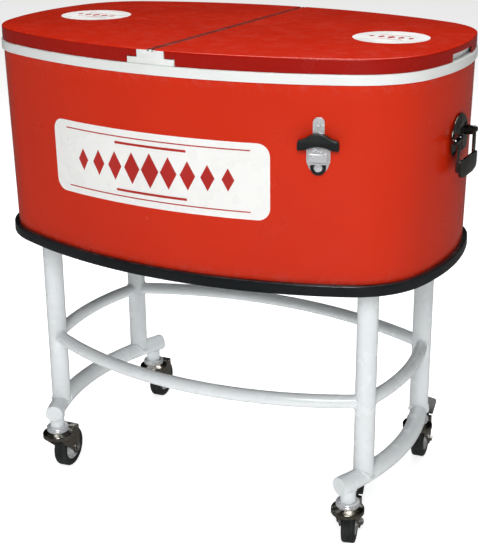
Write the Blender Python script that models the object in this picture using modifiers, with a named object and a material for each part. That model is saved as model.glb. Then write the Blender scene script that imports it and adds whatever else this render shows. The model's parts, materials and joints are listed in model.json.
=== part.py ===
"""A party cooler on wheels: an insulated oval tub on a tube frame with four swivel casters.

Metres, +Z up, front towards -Y, right towards +X. The origin is on the ground under the
tub's centre. Two lids turn on pins along the middle of the tub, a drop handle hangs on each
end, and a bottle opener is fixed to the front.
"""

from math import asin, atan2, cos, pi, radians, sin, sqrt

import bmesh
import bpy
from mathutils import Matrix, Vector

# ---------------------------------------------------------------- driving dimensions

GAP = 0.0003                 # clearance between pieces that touch

# Plan of the tub at its top edge: four tangent arcs and four corner arcs.
HALF_LENGTH = 0.406
HALF_DEPTH = 0.2704
FRONT_RADIUS = 0.80
END_RADIUS = 0.446
CORNER_RADIUS = 0.141
TAPER = 0.005                # how far the wall leans in towards its foot

# Heights.
RIM_BOTTOM = 0.481           # black foot rim
RIM_TOP = 0.500
COLLAR_BOTTOM = 0.8125       # white collar
COLLAR_TOP = 0.8283
LID_TOP = 0.852
BASE_PLATE_Z = 0.4840        # underside of the steel base
BASE_PLATE_T = 0.0024
FOAM_BOTTOM = BASE_PLATE_Z + BASE_PLATE_T + GAP
LINER_BOTTOM = 0.5365

SHEET = 0.0012               # painted steel sheet
LINER_T = 0.0024
INSULATION = 0.030           # tub wall, outside face to liner face at the mouth
COLLAR_PROUD = 0.0034
LID_PROUD = 0.0013

# Lids and their hinges.
PIN_X = 0.0038               # pin axes, either side of the middle
BARREL_R = 0.0030
BARREL_BORE_R = 0.0016
PIN_R = 0.0013
PIN_Z = LID_TOP - BARREL_R
LID_EDGE_X = PIN_X + BARREL_R + GAP
BLOCK_HALF_W = 0.02375       # upper block of the bracket
STEP_HALF_W = 0.0415         # its lower step
STEP_HEIGHT = 0.0100
BLOCK_TOP = LID_TOP - SHEET - 0.0006
EAR_DEPTH = 0.0050           # ends of the bar that carry the pins
FINGER_NOTCH_W = 0.094
FINGER_NOTCH_H = 0.012

# Frame.
LEG_X = 0.3127
LEG_Y = 0.136
LEG_R = 0.0175
RAIL_R = 0.0115
RAIL_Z = 0.271
FRONT_BOW = 0.081
BACK_BOW = 0.071
END_BOW = 0.021
TUBE_R = 0.016               # bowed bottom tubes
TUBE_Z = 0.1327
TUBE_END_Y = 0.1906
SADDLE_R = TUBE_R + 0.0005
FLANGE_HALF = 0.024
FLANGE_T = 0.003

# Casters.
WHEEL_R = 0.038
TYRE_W = 0.024
HUB_R = 0.0250
TRAIL = 0.036                # axle behind the swivel axis
STEM_INSET = 0.0196          # stem from the tube's end
SOCKET_R = 0.0135
SOCKET_BOTTOM = 0.0990
RACE_R = 0.0210                # bearing ring under the socket
CROWN_R = 0.0285               # bell that covers the top of the wheel
CROWN_Z = 0.0775
CROWN_SHOULDER = 0.0850
FORK_GAP = 0.0310
FORK_T = 0.0028
FORK_TOP = 0.0836
PEDAL_X = 0.046                # pedal hinge, back along the trail
PEDAL_Z = 0.086
AXLE_R = 0.0040
HUB_BORE_R = 0.0044
HUB_PROUD = 0.0030             # boss beyond the tyre's side
TRAIL_ANGLES = {
    "front_left": radians(97),
    "front_right": radians(105),
    "rear_left": radians(97),
    "rear_right": radians(97),
}
SIDES = {
    "front_left": (-1, -1),
    "front_right": (1, -1),
    "rear_left": (-1, 1),
    "rear_right": (1, 1),
}
BRAKED = ("front_right", "rear_right")

# Opener on the front wall.
OPENER_X = 0.262
OPENER_Z = 0.7215            # middle of its height

# Drop handles on the ends.
HANDLE_Z = 0.707             # pivot height
PLATE_T = 0.0026
PIVOT_OUT = 0.0145           # pivot axis from the tub wall
PLATE_BELOW = 0.008          # middle of the plate below the pivot
BAIL_DROP = 0.0655
GRIP_H = 0.031
PIVOT_FRONT = 0.064          # the pivot bolt's head end, and its nut end
PIVOT_BACK = 0.047

# Drain in the tub's floor.
DRAIN_X = 0.150
DRAIN_Y = 0.060
DRAIN_BORE_R = 0.0080
DRAIN_TUBE_R = 0.0115

# ---------------------------------------------------------------- scene and materials

for old in list(bpy.data.objects):
    bpy.data.objects.remove(old)

COOLER = bpy.data.collections.new("cooler_on_wheels")
CUTTERS = bpy.data.collections.new("cutters")
for collection in (COOLER, CUTTERS):
    bpy.context.scene.collection.children.link(collection)


def finish(name, color, roughness, metallic):
    """A plain Principled material."""
    material = bpy.data.materials.new(name)
    material.use_nodes = True
    shader = material.node_tree.nodes["Principled BSDF"]
    shader.inputs["Base Color"].default_value = (*color, 1.0)
    shader.inputs["Roughness"].default_value = roughness
    shader.inputs["Metallic"].default_value = metallic
    material.diffuse_color = (*color, 1.0)
    return material


RED = ((0.60, 0.035, 0.010), 0.28, 0.0)
WHITE = ((0.80, 0.84, 0.86), 0.35, 0.0)
BLACK = ((0.012, 0.018, 0.018), 0.40, 0.0)
CHROME = ((0.75, 0.76, 0.78), 0.15, 1.0)
DARK_CHROME = ((0.30, 0.28, 0.26), 0.22, 1.0)
FOAM = ((0.85, 0.80, 0.62), 0.90, 0.0)
ZINC = ((0.55, 0.56, 0.57), 0.45, 1.0)

# ---------------------------------------------------------------- making and joining


def place(name, mesh_or_curve, look, matrix=None, parent=None):
    """Put a finished shape in the collection under its node name."""
    piece = bpy.data.objects.new(name, mesh_or_curve)
    COOLER.objects.link(piece)
    mesh_or_curve.materials.clear()
    mesh_or_curve.materials.append(finish(name, *look))
    piece.parent = parent
    piece.matrix_world = Matrix.Identity(4) if matrix is None else matrix
    return piece


def pivot(name, location, angle=0.0):
    """An empty on a joint's axis, turned about Z."""
    empty = bpy.data.objects.new(name, None)
    empty.empty_display_size = 0.02
    empty.location = location
    empty.rotation_euler = (0.0, 0.0, angle)
    COOLER.objects.link(empty)
    bpy.context.view_layer.update()
    return empty


def mesh_from(name, bm):
    """Close a bmesh into mesh data, normals outwards."""
    bm.normal_update()
    bmesh.ops.recalc_face_normals(bm, faces=bm.faces)
    if bm.calc_volume(signed=True) < 0.0:
        bmesh.ops.reverse_faces(bm, faces=bm.faces)
    mesh = bpy.data.meshes.new(name)
    bm.to_mesh(mesh)
    bm.free()
    return mesh


def smooth(piece, angle=35):
    """Shade round faces smooth and leave real edges sharp."""
    piece.data.shade_smooth()
    piece.data.set_sharp_from_angle(angle=radians(angle))


def loft(name, rings, closed=False):
    """Skin a stack of outlines with equal point counts, capped or closed on itself."""
    bm = bmesh.new()
    loops = [[bm.verts.new(point) for point in ring] for ring in rings]
    pairs = list(zip(loops, loops[1:]))
    if closed:
        pairs.append((loops[-1], loops[0]))
    else:
        bm.faces.new(loops[0])
        bm.faces.new(loops[-1])
    for lower, upper in pairs:
        for i, vertex in enumerate(lower):
            j = (i + 1) % len(lower)
            bm.faces.new((vertex, lower[j], upper[j], upper[i]))
    return mesh_from(name, bm)


def turned(name, profile, steps):
    """Turn a profile of (radius, height) about Z with a Screw modifier, and return its mesh."""
    outline = bpy.data.meshes.new(name + "_profile")
    points = [(radius, 0.0, height) for radius, height in profile]
    count = len(points)
    ends_on_axis = profile[0][0] == 0.0 and profile[-1][0] == 0.0
    edges = [(i, (i + 1) % count) for i in range(count - 1 if ends_on_axis else count)]
    outline.from_pydata(points, edges, [])
    guide = bpy.data.objects.new(name + "_guide", outline)
    CUTTERS.objects.link(guide)
    screw = guide.modifiers.new("screw", "SCREW")
    screw.steps = steps
    screw.render_steps = steps
    screw.use_merge_vertices = True
    screw.merge_threshold = 0.00005
    return baked(guide)


def baked(guide):
    """The evaluated mesh of an object, which is then removed."""
    bpy.context.view_layer.update()
    evaluated = guide.evaluated_get(bpy.context.evaluated_depsgraph_get())
    mesh = bpy.data.meshes.new_from_object(evaluated)
    mesh.transform(guide.matrix_world)
    bpy.data.objects.remove(guide)
    bm = bmesh.new()
    bm.from_mesh(mesh)
    bmesh.ops.remove_doubles(bm, verts=bm.verts, dist=0.00002)
    bmesh.ops.recalc_face_normals(bm, faces=bm.faces)
    bm.to_mesh(mesh)
    bm.free()
    return mesh


def tube(name, points, radius, resolution):
    """A round bar along points, as a curve with filled caps made a mesh."""
    data = bpy.data.curves.new(name, "CURVE")
    data.dimensions = "3D"
    data.bevel_depth = radius
    data.bevel_resolution = resolution
    data.use_fill_caps = True
    data.twist_mode = "Z_UP"
    spline = data.splines.new("POLY")
    spline.points.add(len(points) - 1)
    for point, place_at in zip(spline.points, points):
        point.co = (*place_at, 1.0)
    guide = bpy.data.objects.new(name + "_guide", data)
    CUTTERS.objects.link(guide)
    return baked(guide)


def slab(name, outline, thickness):
    """A flat outline in X and Y, extruded to both sides of Z = 0."""
    data = bpy.data.curves.new(name, "CURVE")
    data.dimensions = "2D"
    data.fill_mode = "BOTH"
    data.extrude = thickness / 2
    spline = data.splines.new("POLY")
    spline.points.add(len(outline) - 1)
    for point, (x, y) in zip(spline.points, outline):
        point.co = (x, y, 0.0, 1.0)
    spline.use_cyclic_u = True
    guide = bpy.data.objects.new(name + "_guide", data)
    CUTTERS.objects.link(guide)
    return baked(guide)


def block(name, low, high):
    """A box between two corners, as mesh data."""
    bm = bmesh.new()
    bmesh.ops.create_cube(bm, size=1.0)
    low = Vector(low)
    high = Vector(high)
    bmesh.ops.scale(bm, vec=high - low, verts=bm.verts)
    bmesh.ops.translate(bm, vec=(low + high) / 2, verts=bm.verts)
    return mesh_from(name, bm)


def rod(name, radius, low, high, axis="Z", centre=(0.0, 0.0), sides=16):
    """A cylinder along an axis between two positions, as mesh data."""
    bm = bmesh.new()
    bmesh.ops.create_cone(bm, cap_ends=True, segments=sides, radius1=radius,
                          radius2=radius, depth=high - low)
    bmesh.ops.translate(bm, vec=(0.0, 0.0, (low + high) / 2), verts=bm.verts)
    mesh = mesh_from(name, bm)
    if axis == "X":
        mesh.transform(Matrix.Rotation(pi / 2, 4, "Y"))
        mesh.transform(Matrix.Translation((0.0, *centre)))
    elif axis == "Y":
        mesh.transform(Matrix.Rotation(-pi / 2, 4, "X"))
        mesh.transform(Matrix.Translation((centre[0], 0.0, centre[1])))
    else:
        mesh.transform(Matrix.Translation((*centre, 0.0)))
    return mesh


def boolean(piece, mesh, operation, matrix=None):
    """Cut a shape from a piece, or join one to it."""
    cutter = bpy.data.objects.new(piece.name + "_cutter", mesh)
    CUTTERS.objects.link(cutter)
    cutter.hide_render = True
    cutter.display_type = "WIRE"
    if matrix is not None:
        cutter.matrix_world = matrix
    modifier = piece.modifiers.new(operation.lower(), "BOOLEAN")
    modifier.operation = operation
    modifier.solver = "EXACT"
    modifier.object = cutter
    return cutter


def cut(piece, mesh, matrix=None):
    return boolean(piece, mesh, "DIFFERENCE", matrix)


def join(piece, mesh, matrix=None):
    return boolean(piece, mesh, "UNION", matrix)


def bevel(piece, width, segments=1, angle=40):
    """Round the sharp edges of a piece."""
    modifier = piece.modifiers.new("bevel", "BEVEL")
    modifier.width = width
    modifier.segments = segments
    modifier.limit_method = "ANGLE"
    modifier.angle_limit = radians(angle)
    return modifier


# ---------------------------------------------------------------- the oval plan


def corner_centre():
    """Centre of the corner circle that touches the front circle and the end circle inside."""
    front = Vector((0.0, HALF_DEPTH - FRONT_RADIUS))
    end = Vector((HALF_LENGTH - END_RADIUS, 0.0))
    reach_front = FRONT_RADIUS - CORNER_RADIUS
    reach_end = END_RADIUS - CORNER_RADIUS
    between = end - front
    distance = between.length
    along = (reach_front ** 2 - reach_end ** 2 + distance ** 2) / (2 * distance)
    aside = sqrt(reach_front ** 2 - along ** 2)
    forward = between / distance
    return front + forward * along + Vector((forward.y, -forward.x)) * aside


CORNER = corner_centre()
FRONT_STEPS = 7
CORNER_STEPS = 5
END_STEPS = 4


def quarter(offset):
    """Points of the back right quarter, from the back middle to the right end."""
    front = Vector((0.0, HALF_DEPTH - FRONT_RADIUS))
    end = Vector((HALF_LENGTH - END_RADIUS, 0.0))
    front_angle = atan2(CORNER.y - front.y, CORNER.x - front.x)
    end_angle = atan2(CORNER.y - end.y, CORNER.x - end.x)
    arcs = (
        (front, FRONT_RADIUS, pi / 2, front_angle, FRONT_STEPS),
        (CORNER, CORNER_RADIUS, front_angle, end_angle, CORNER_STEPS),
        (end, END_RADIUS, end_angle, 0.0, END_STEPS),
    )
    points = []
    for centre, radius, start, stop, steps in arcs:
        for i in range(steps):
            angle = start + (stop - start) * i / steps
            points.append((centre.x + (radius + offset) * cos(angle),
                           centre.y + (radius + offset) * sin(angle)))
    points.append((HALF_LENGTH + offset, 0.0))
    return points


def oval(offset, height):
    """The whole outline at an offset from the plan, as a ring of points at a height."""
    right_back = quarter(offset)
    left_back = [(-x, y) for x, y in reversed(right_back)][:-1]
    back = left_back + right_back
    front = [(x, -y) for x, y in reversed(back)][1:-1]
    return [(x, y, height) for x, y in back + front]


def lean(height):
    """Offset of the wall's outer face at a height."""
    return -TAPER * (COLLAR_BOTTOM - height) / (COLLAR_BOTTOM - RIM_TOP)


def oval_stack(name, profile, closed=False):
    """A loft of the plan through (offset, height) pairs."""
    return loft(name, [oval(offset, height) for offset, height in profile], closed)


def front_wall_frame(x, z, lift=0.0):
    """Axes on the front wall at x: X to the right along it, Y up it, Z out of it."""
    centre = Vector((0.0, FRONT_RADIUS - HALF_DEPTH))
    angle = asin(x / FRONT_RADIUS)
    out = Vector((sin(angle), -cos(angle), 0.0))
    right = Vector((cos(angle), sin(angle), 0.0))
    spot = Vector((centre.x, centre.y, 0.0)) + out * (FRONT_RADIUS + lean(z) + lift)
    spot.z = z
    matrix = Matrix((right, Vector((0.0, 0.0, 1.0)), out)).transposed().to_4x4()
    matrix.translation = spot
    return matrix


# ---------------------------------------------------------------- tub


def make_tub():
    shell_top = COLLAR_TOP - 0.0035
    shell = place("outer_shell", oval_stack("outer_shell", [
        (lean(FOAM_BOTTOM) - SHEET, FOAM_BOTTOM),
        (lean(FOAM_BOTTOM), FOAM_BOTTOM),
        (0.0, COLLAR_BOTTOM),
        (0.0, shell_top),
        (-SHEET, shell_top),
    ], closed=True), RED)
    smooth(shell)

    flange_top = shell_top
    mouth = -INSULATION - LINER_T
    liner = place("inner_liner", oval_stack("inner_liner", [
        (-INSULATION - 0.020 - LINER_T, LINER_BOTTOM + LINER_T),
        (mouth, flange_top),
        (-SHEET - 0.0006, flange_top),
        (-SHEET - 0.0006, flange_top - LINER_T),
        (-INSULATION, flange_top - LINER_T),
        (-INSULATION - 0.020, LINER_BOTTOM),
    ]), WHITE)
    smooth(liner)

    inside = SHEET + 0.0004
    foam = place("insulation_foam", oval_stack("insulation_foam", [
        (-INSULATION - 0.0194, LINER_BOTTOM - GAP),
        (-INSULATION + 0.0006, flange_top - LINER_T - GAP),
        (-inside, flange_top - LINER_T - GAP),
        (-inside, COLLAR_BOTTOM),
        (lean(FOAM_BOTTOM) - inside, FOAM_BOTTOM + GAP),
    ]), FOAM)

    plate = place("base_plate", oval_stack("base_plate", [
        (lean(RIM_BOTTOM) - 0.0030, BASE_PLATE_Z),
        (lean(RIM_BOTTOM) - 0.0030, BASE_PLATE_Z + BASE_PLATE_T),
    ]), BLACK)

    rim = place("base_rim", oval_stack("base_rim", [
        (lean(RIM_TOP) + GAP, RIM_TOP),
        (lean(RIM_TOP) + 0.0070, RIM_TOP),
        (lean(RIM_TOP) + 0.0088, RIM_TOP - 0.0040),
        (lean(RIM_TOP) + 0.0070, RIM_BOTTOM + 0.0040),
        (lean(RIM_TOP) + 0.0030, RIM_BOTTOM),
        (lean(RIM_TOP) - 0.0100, RIM_BOTTOM),
        (lean(RIM_TOP) - 0.0100, BASE_PLATE_Z - GAP),
        (lean(RIM_BOTTOM) + GAP, BASE_PLATE_Z - GAP),
    ], closed=True), BLACK)
    smooth(rim)

    collar = place("top_collar", oval_stack("top_collar", [
        (GAP, COLLAR_BOTTOM),
        (COLLAR_PROUD, COLLAR_BOTTOM),
        (COLLAR_PROUD, COLLAR_TOP - 0.0014),
        (COLLAR_PROUD - 0.0014, COLLAR_TOP),
        (-INSULATION - 0.0004, COLLAR_TOP),
        (-INSULATION - 0.0004, flange_top + GAP),
        (GAP, flange_top + GAP),
    ], closed=True), WHITE)
    smooth(collar)

    for piece in (liner, foam, plate):
        cut(piece, rod("drain_hole", DRAIN_TUBE_R + GAP, RIM_BOTTOM - 0.01, LINER_BOTTOM + 0.01,
                       centre=(DRAIN_X, DRAIN_Y), sides=24))


def make_centre_bar():
    """The bar between the lids, with the stepped brackets that fill the skirt's notches."""
    reach = HALF_DEPTH + LID_PROUD
    bottom = COLLAR_TOP + GAP
    inner_reach = reach - 0.034
    bar = place("centre_bar", block("centre_bar", (-BLOCK_HALF_W, -reach, bottom),
                                    (BLOCK_HALF_W, reach, BLOCK_TOP)), WHITE)
    keel_half = BLOCK_HALF_W - 0.004
    join(bar, block("keel", (-keel_half, -inner_reach + 0.004, COLLAR_TOP - 0.018),
                    (keel_half, inner_reach - 0.004, bottom + 0.004)))
    for side in (-1, 1):
        near, far = sorted((side * (reach - 0.024), side * reach))
        join(bar, block("step", (-STEP_HALF_W, near, bottom),
                        (STEP_HALF_W, far, bottom + STEP_HEIGHT - GAP)))
    groove_half = PIN_X + BARREL_R + 0.0009
    groove_reach = reach - EAR_DEPTH
    cut(bar, block("groove", (-groove_half, -groove_reach, PIN_Z - BARREL_R - 0.0007),
                   (groove_half, groove_reach, LID_TOP + 0.01)))
    for side in (-1, 1):
        cut(bar, rod("pin_hole", PIN_R + GAP, -reach - 0.01, reach + 0.01, axis="Y",
                     centre=(side * PIN_X, PIN_Z), sides=12))


def make_drain():
    top = LINER_BOTTOM + LINER_T + GAP
    fitting = place("drain_fitting", turned("drain_fitting", [
        (0.0185, top + 0.0020),
        (0.0185, top),
        (DRAIN_TUBE_R, top),
        (DRAIN_TUBE_R, RIM_BOTTOM - 0.010),
        (DRAIN_BORE_R, RIM_BOTTOM - 0.010),
        (DRAIN_BORE_R, top + 0.0020),
    ], 24), WHITE, Matrix.Translation((DRAIN_X, DRAIN_Y, 0.0)))
    smooth(fitting)
    pull = pivot("drain_plug_axis", (DRAIN_X, DRAIN_Y, RIM_BOTTOM))
    foot = RIM_BOTTOM - 0.010 - GAP
    plug = place("drain_plug", turned("drain_plug", [
        (0.0, foot + 0.030),
        (DRAIN_BORE_R - 0.0010, foot + 0.030),
        (DRAIN_BORE_R - 0.0004, foot),
        (0.0145, foot),
        (0.0145, foot - 0.0050),
        (0.0060, foot - 0.0060),
        (0.0060, foot - 0.0130),
        (0.0, foot - 0.0130),
    ], 24), BLACK, Matrix.Translation((DRAIN_X, DRAIN_Y, 0.0)), pull)
    smooth(plug)


# ---------------------------------------------------------------- lids


def make_lid(name, side):
    """One lid: a folded sheet skin, an insulated panel inside it, its hinge barrel and pin."""
    hinge = pivot(name + "_hinge", (side * PIN_X, 0.0, PIN_Z))
    skirt_bottom = COLLAR_TOP + GAP
    skin = place(name + "_skin", oval_stack(name + "_skin", [
        (LID_PROUD - SHEET, LID_TOP - SHEET),
        (LID_PROUD - SHEET, skirt_bottom),
        (LID_PROUD, skirt_bottom),
        (LID_PROUD, LID_TOP - 0.0024),
        (LID_PROUD - 0.0007, LID_TOP - 0.0007),
        (LID_PROUD - 0.0024, LID_TOP),
    ]), RED, parent=hinge)
    far = -side * (HALF_LENGTH + 0.05)
    reach = HALF_DEPTH + 0.02

    def trim(piece, low, high, until):
        x_low, x_high = sorted((far, side * until))
        cut(piece, block("trim", (x_low, -reach, low), (x_high, reach, high)))

    trim(skin, COLLAR_BOTTOM, LID_TOP + 0.01, LID_EDGE_X)
    trim(skin, COLLAR_BOTTOM, LID_TOP - SHEET - 0.0001, BLOCK_HALF_W + 0.0012)
    trim(skin, COLLAR_BOTTOM, skirt_bottom + STEP_HEIGHT + 0.0006, STEP_HALF_W + 0.0012)
    notch_x = sorted((side * (HALF_LENGTH - 0.03), side * (HALF_LENGTH + 0.02)))
    cut(skin, block("finger_notch", (notch_x[0], -FINGER_NOTCH_W / 2, COLLAR_BOTTOM),
                    (notch_x[1], FINGER_NOTCH_W / 2, skirt_bottom + FINGER_NOTCH_H)))
    smooth(skin, 30)

    panel = place(name + "_panel", oval_stack(name + "_panel", [
        (-0.046, COLLAR_TOP - 0.018),
        (-0.040, COLLAR_TOP + GAP),
        (LID_PROUD - 0.0080, COLLAR_TOP + GAP),
        (LID_PROUD - 0.0022, COLLAR_TOP + 0.0140),
        (LID_PROUD - 0.0022, LID_TOP - SHEET - GAP),
    ]), WHITE, parent=hinge)
    trim(panel, COLLAR_BOTTOM - 0.02, LID_TOP + 0.01, BLOCK_HALF_W + 0.0012)
    for end in (-1, 1):
        y_low, y_high = sorted((end * (HALF_DEPTH - 0.026), end * reach))
        x_low, x_high = sorted((0.0, side * (STEP_HALF_W + 0.0012)))
        cut(panel, block("step_room", (x_low, y_low, COLLAR_BOTTOM),
                         (x_high, y_high, skirt_bottom + STEP_HEIGHT + 0.0006)))
    smooth(panel, 30)

    barrel_end = HALF_DEPTH + LID_PROUD - EAR_DEPTH - 0.0008
    barrel = place(name + "_barrel", turned(name + "_barrel", [
        (BARREL_R, barrel_end),
        (BARREL_R, -barrel_end),
        (BARREL_BORE_R, -barrel_end),
        (BARREL_BORE_R, barrel_end),
    ], 16), RED, parent=hinge)
    lay_along_y = Matrix.Translation((side * PIN_X, 0.0, PIN_Z)) @ Matrix.Rotation(pi / 2, 4, "X")
    barrel.matrix_world = lay_along_y
    smooth(barrel)

    pin_end = HALF_DEPTH + LID_PROUD - 0.0010
    pin = place(name + "_pin", rod(name + "_pin", PIN_R, -pin_end, pin_end, axis="Y",
                                   centre=(side * PIN_X, PIN_Z), sides=12), ZINC)
    smooth(pin)


# ---------------------------------------------------------------- frame


def bowed(start, end, bow, steps, overrun=0.0):
    """Points on a level arc between two points; bow is the sideways rise of its middle."""
    start = Vector(start)
    end = Vector(end)
    chord = end - start
    half = chord.length / 2
    along = chord.normalized()
    aside = Vector((0.0, 0.0, 1.0)).cross(along)
    radius = (half * half + bow * bow) / (2 * abs(bow))
    side = 1 if bow > 0 else -1
    centre = (start + end) / 2 + aside * (bow - side * radius)
    sweep = asin((half + overrun) / radius)
    points = []
    for i in range(steps + 1):
        angle = -sweep + 2 * sweep * i / steps
        points.append(centre + along * radius * sin(angle) + aside * side * radius * cos(angle))
    return points


def end_tube_x(y):
    """Distance of a bottom tube's axis from the middle of the cooler."""
    radius = (LEG_Y ** 2 + END_BOW ** 2) / (2 * END_BOW)
    return LEG_X + END_BOW - radius + sqrt(radius ** 2 - y ** 2)


def bottom_tube(name, sx, radius):
    """The bowed tube along the bottom of one end, or the cutter of its saddle."""
    route = bowed((sx * LEG_X, -LEG_Y, TUBE_Z), (sx * LEG_X, LEG_Y, TUBE_Z),
                  -sx * END_BOW, 14, TUBE_END_Y - LEG_Y)
    return tube(name, route, radius, 5)


def make_frame():
    sleeve = LEG_R + GAP
    for corner, (sx, sy) in SIDES.items():
        leg = place(corner + "_leg", rod(corner + "_leg", LEG_R, TUBE_Z, BASE_PLATE_Z - GAP,
                                         centre=(sx * LEG_X, sy * LEG_Y), sides=28), WHITE)
        join(leg, block("flange", (sx * LEG_X - FLANGE_HALF, sy * LEG_Y - FLANGE_HALF,
                                   BASE_PLATE_Z - GAP - FLANGE_T),
                        (sx * LEG_X + FLANGE_HALF, sy * LEG_Y + FLANGE_HALF,
                         BASE_PLATE_Z - GAP)))
        cut(leg, bottom_tube("saddle", sx, SADDLE_R))
        smooth(leg)

    for side, sx in (("left", -1), ("right", 1)):
        name = side + "_bottom_tube"
        foot_tube = place(name, bottom_tube(name, sx, TUBE_R), WHITE)
        smooth(foot_tube)

    rails = {
        "front_rail": ((-LEG_X, -LEG_Y), (LEG_X, -LEG_Y), -FRONT_BOW, 14),
        "back_rail": ((-LEG_X, LEG_Y), (LEG_X, LEG_Y), BACK_BOW, 14),
        "left_rail": ((-LEG_X, -LEG_Y), (-LEG_X, LEG_Y), END_BOW, 8),
        "right_rail": ((LEG_X, -LEG_Y), (LEG_X, LEG_Y), -END_BOW, 8),
    }
    for name, (start, end, bow, steps) in rails.items():
        route = bowed((*start, RAIL_Z), (*end, RAIL_Z), bow, steps)
        rail = place(name, tube(name, route, RAIL_R, 3), WHITE)
        for x, y in (start, end):
            cut(rail, rod("cope", sleeve, RAIL_Z - 0.03, RAIL_Z + 0.03, centre=(x, y),
                          sides=28))
        smooth(rail)


# ---------------------------------------------------------------- casters


def fork_side():
    """Outline of a fork plate: X runs back along the trail, Y is height."""
    lug = 0.012
    points = [(-0.013, CROWN_Z + 0.0040), (-0.014, CROWN_Z - 0.0050)]
    steps = 8
    for i in range(steps + 1):
        angle = radians(205) + radians(155) * i / steps
        points.append((TRAIL + lug * cos(angle), WHEEL_R + lug * sin(angle)))
    back = TRAIL + lug
    points += [(back, FORK_TOP - 0.0040), (back - 0.0040, FORK_TOP), (0.022, FORK_TOP)]
    return points


def make_caster(corner):
    sx, sy = SIDES[corner]
    stem_y = TUBE_END_Y - STEM_INSET
    stem = Vector((sx * end_tube_x(stem_y), sy * stem_y, 0.0))
    swivel = pivot(corner + "_swivel", stem, TRAIL_ANGLES[corner])
    matrix = swivel.matrix_world.copy()

    socket = place(corner + "_socket", rod(corner + "_socket", SOCKET_R, SOCKET_BOTTOM,
                                           TUBE_Z, centre=(0.0, 0.0), sides=20),
                   WHITE, Matrix.Translation(stem))
    cut(socket, bottom_tube("saddle", sx, SADDLE_R))
    smooth(socket)

    fork = place(corner + "_fork", turned(corner + "_fork", [
        (0.0, SOCKET_BOTTOM - GAP),
        (0.0185, SOCKET_BOTTOM - GAP),
        (RACE_R, SOCKET_BOTTOM - 0.0020),
        (RACE_R, 0.0920),
        (0.0200, 0.0905),
        (CROWN_R, CROWN_SHOULDER),
        (CROWN_R, CROWN_Z),
        (0.0, CROWN_Z),
    ], 24), DARK_CHROME, matrix, swivel)
    outer = FORK_GAP / 2 + FORK_T
    join(fork, rod("pedal_pin", 0.0014, -outer, outer, axis="Y",
                   centre=(PEDAL_X - 0.0030, FORK_TOP - 0.0030), sides=8), matrix)
    for hand in (-1, 1):
        plate = slab("fork_plate", fork_side(), FORK_T)
        plate.transform(Matrix.Rotation(pi / 2, 4, "X"))
        plate.transform(Matrix.Translation((0.0, hand * (FORK_GAP + FORK_T) / 2, 0.0)))
        join(fork, plate, matrix)
    cut(fork, rod("axle_hole", AXLE_R + GAP, -0.03, 0.03, axis="Y",
                  centre=(TRAIL, WHEEL_R), sides=12), matrix)
    smooth(fork)

    axle_at = matrix @ Matrix.Translation((TRAIL, 0.0, WHEEL_R))
    spin = pivot(corner + "_spin", axle_at.translation, TRAIL_ANGLES[corner])
    on_side = axle_at @ Matrix.Rotation(pi / 2, 4, "X")
    half = TYRE_W / 2
    tyre = place(corner + "_tyre", turned(corner + "_tyre", [
        (HUB_R + GAP, half),
        (WHEEL_R - 0.0040, half),
        (WHEEL_R, half - 0.0050),
        (WHEEL_R, -half + 0.0050),
        (WHEEL_R - 0.0040, -half),
        (HUB_R + GAP, -half),
    ], 24), BLACK, on_side, spin)
    smooth(tyre)
    hub = place(corner + "_hub", turned(corner + "_hub", [
        (HUB_BORE_R, half + HUB_PROUD),
        (0.0090, half + HUB_PROUD),
        (0.0110, half - 0.0010),
        (HUB_R, half - 0.0030),
        (HUB_R, -half + 0.0030),
        (0.0110, -half + 0.0010),
        (0.0090, -half - HUB_PROUD),
        (HUB_BORE_R, -half - HUB_PROUD),
    ], 24), CHROME, on_side, spin)
    smooth(hub)

    axle = place(corner + "_axle", rod(corner + "_axle", AXLE_R, -outer - 0.0020,
                                       outer + 0.0020, sides=12), ZINC, on_side, swivel)
    for hand in (-1, 1):
        low, high = sorted((hand * (outer + GAP), hand * (outer + 0.0035)))
        join(axle, rod("nut", 0.0062, low, high, sides=6), on_side)
    if corner in BRAKED:
        make_brake(corner, matrix, swivel)


def make_brake(corner, matrix, swivel):
    """A foot pedal that rocks on the back of the crown, over the wheel."""
    pedal_at = matrix @ Matrix.Translation((PEDAL_X, 0.0, PEDAL_Z))
    rock = pivot(corner + "_brake_axis", pedal_at.translation, TRAIL_ANGLES[corner])
    rock.parent = swivel
    rock.matrix_world = pedal_at
    tilt = Matrix.Rotation(radians(-28), 4, "Y")
    pedal = place(corner + "_brake_pedal", block(corner + "_brake_pedal",
                  (0.0, -0.021, -0.0018), (0.040, 0.021, 0.0018)), BLACK,
                  pedal_at @ tilt, rock)
    bevel(pedal, 0.0012, 1)


# ---------------------------------------------------------------- opener and handles


def arc(centre, radius, start, stop, steps):
    """Points of an arc, angles in degrees."""
    points = []
    for i in range(steps + 1):
        angle = radians(start + (stop - start) * i / steps)
        points.append((centre[0] + radius * cos(angle), centre[1] + radius * sin(angle)))
    return points


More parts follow.
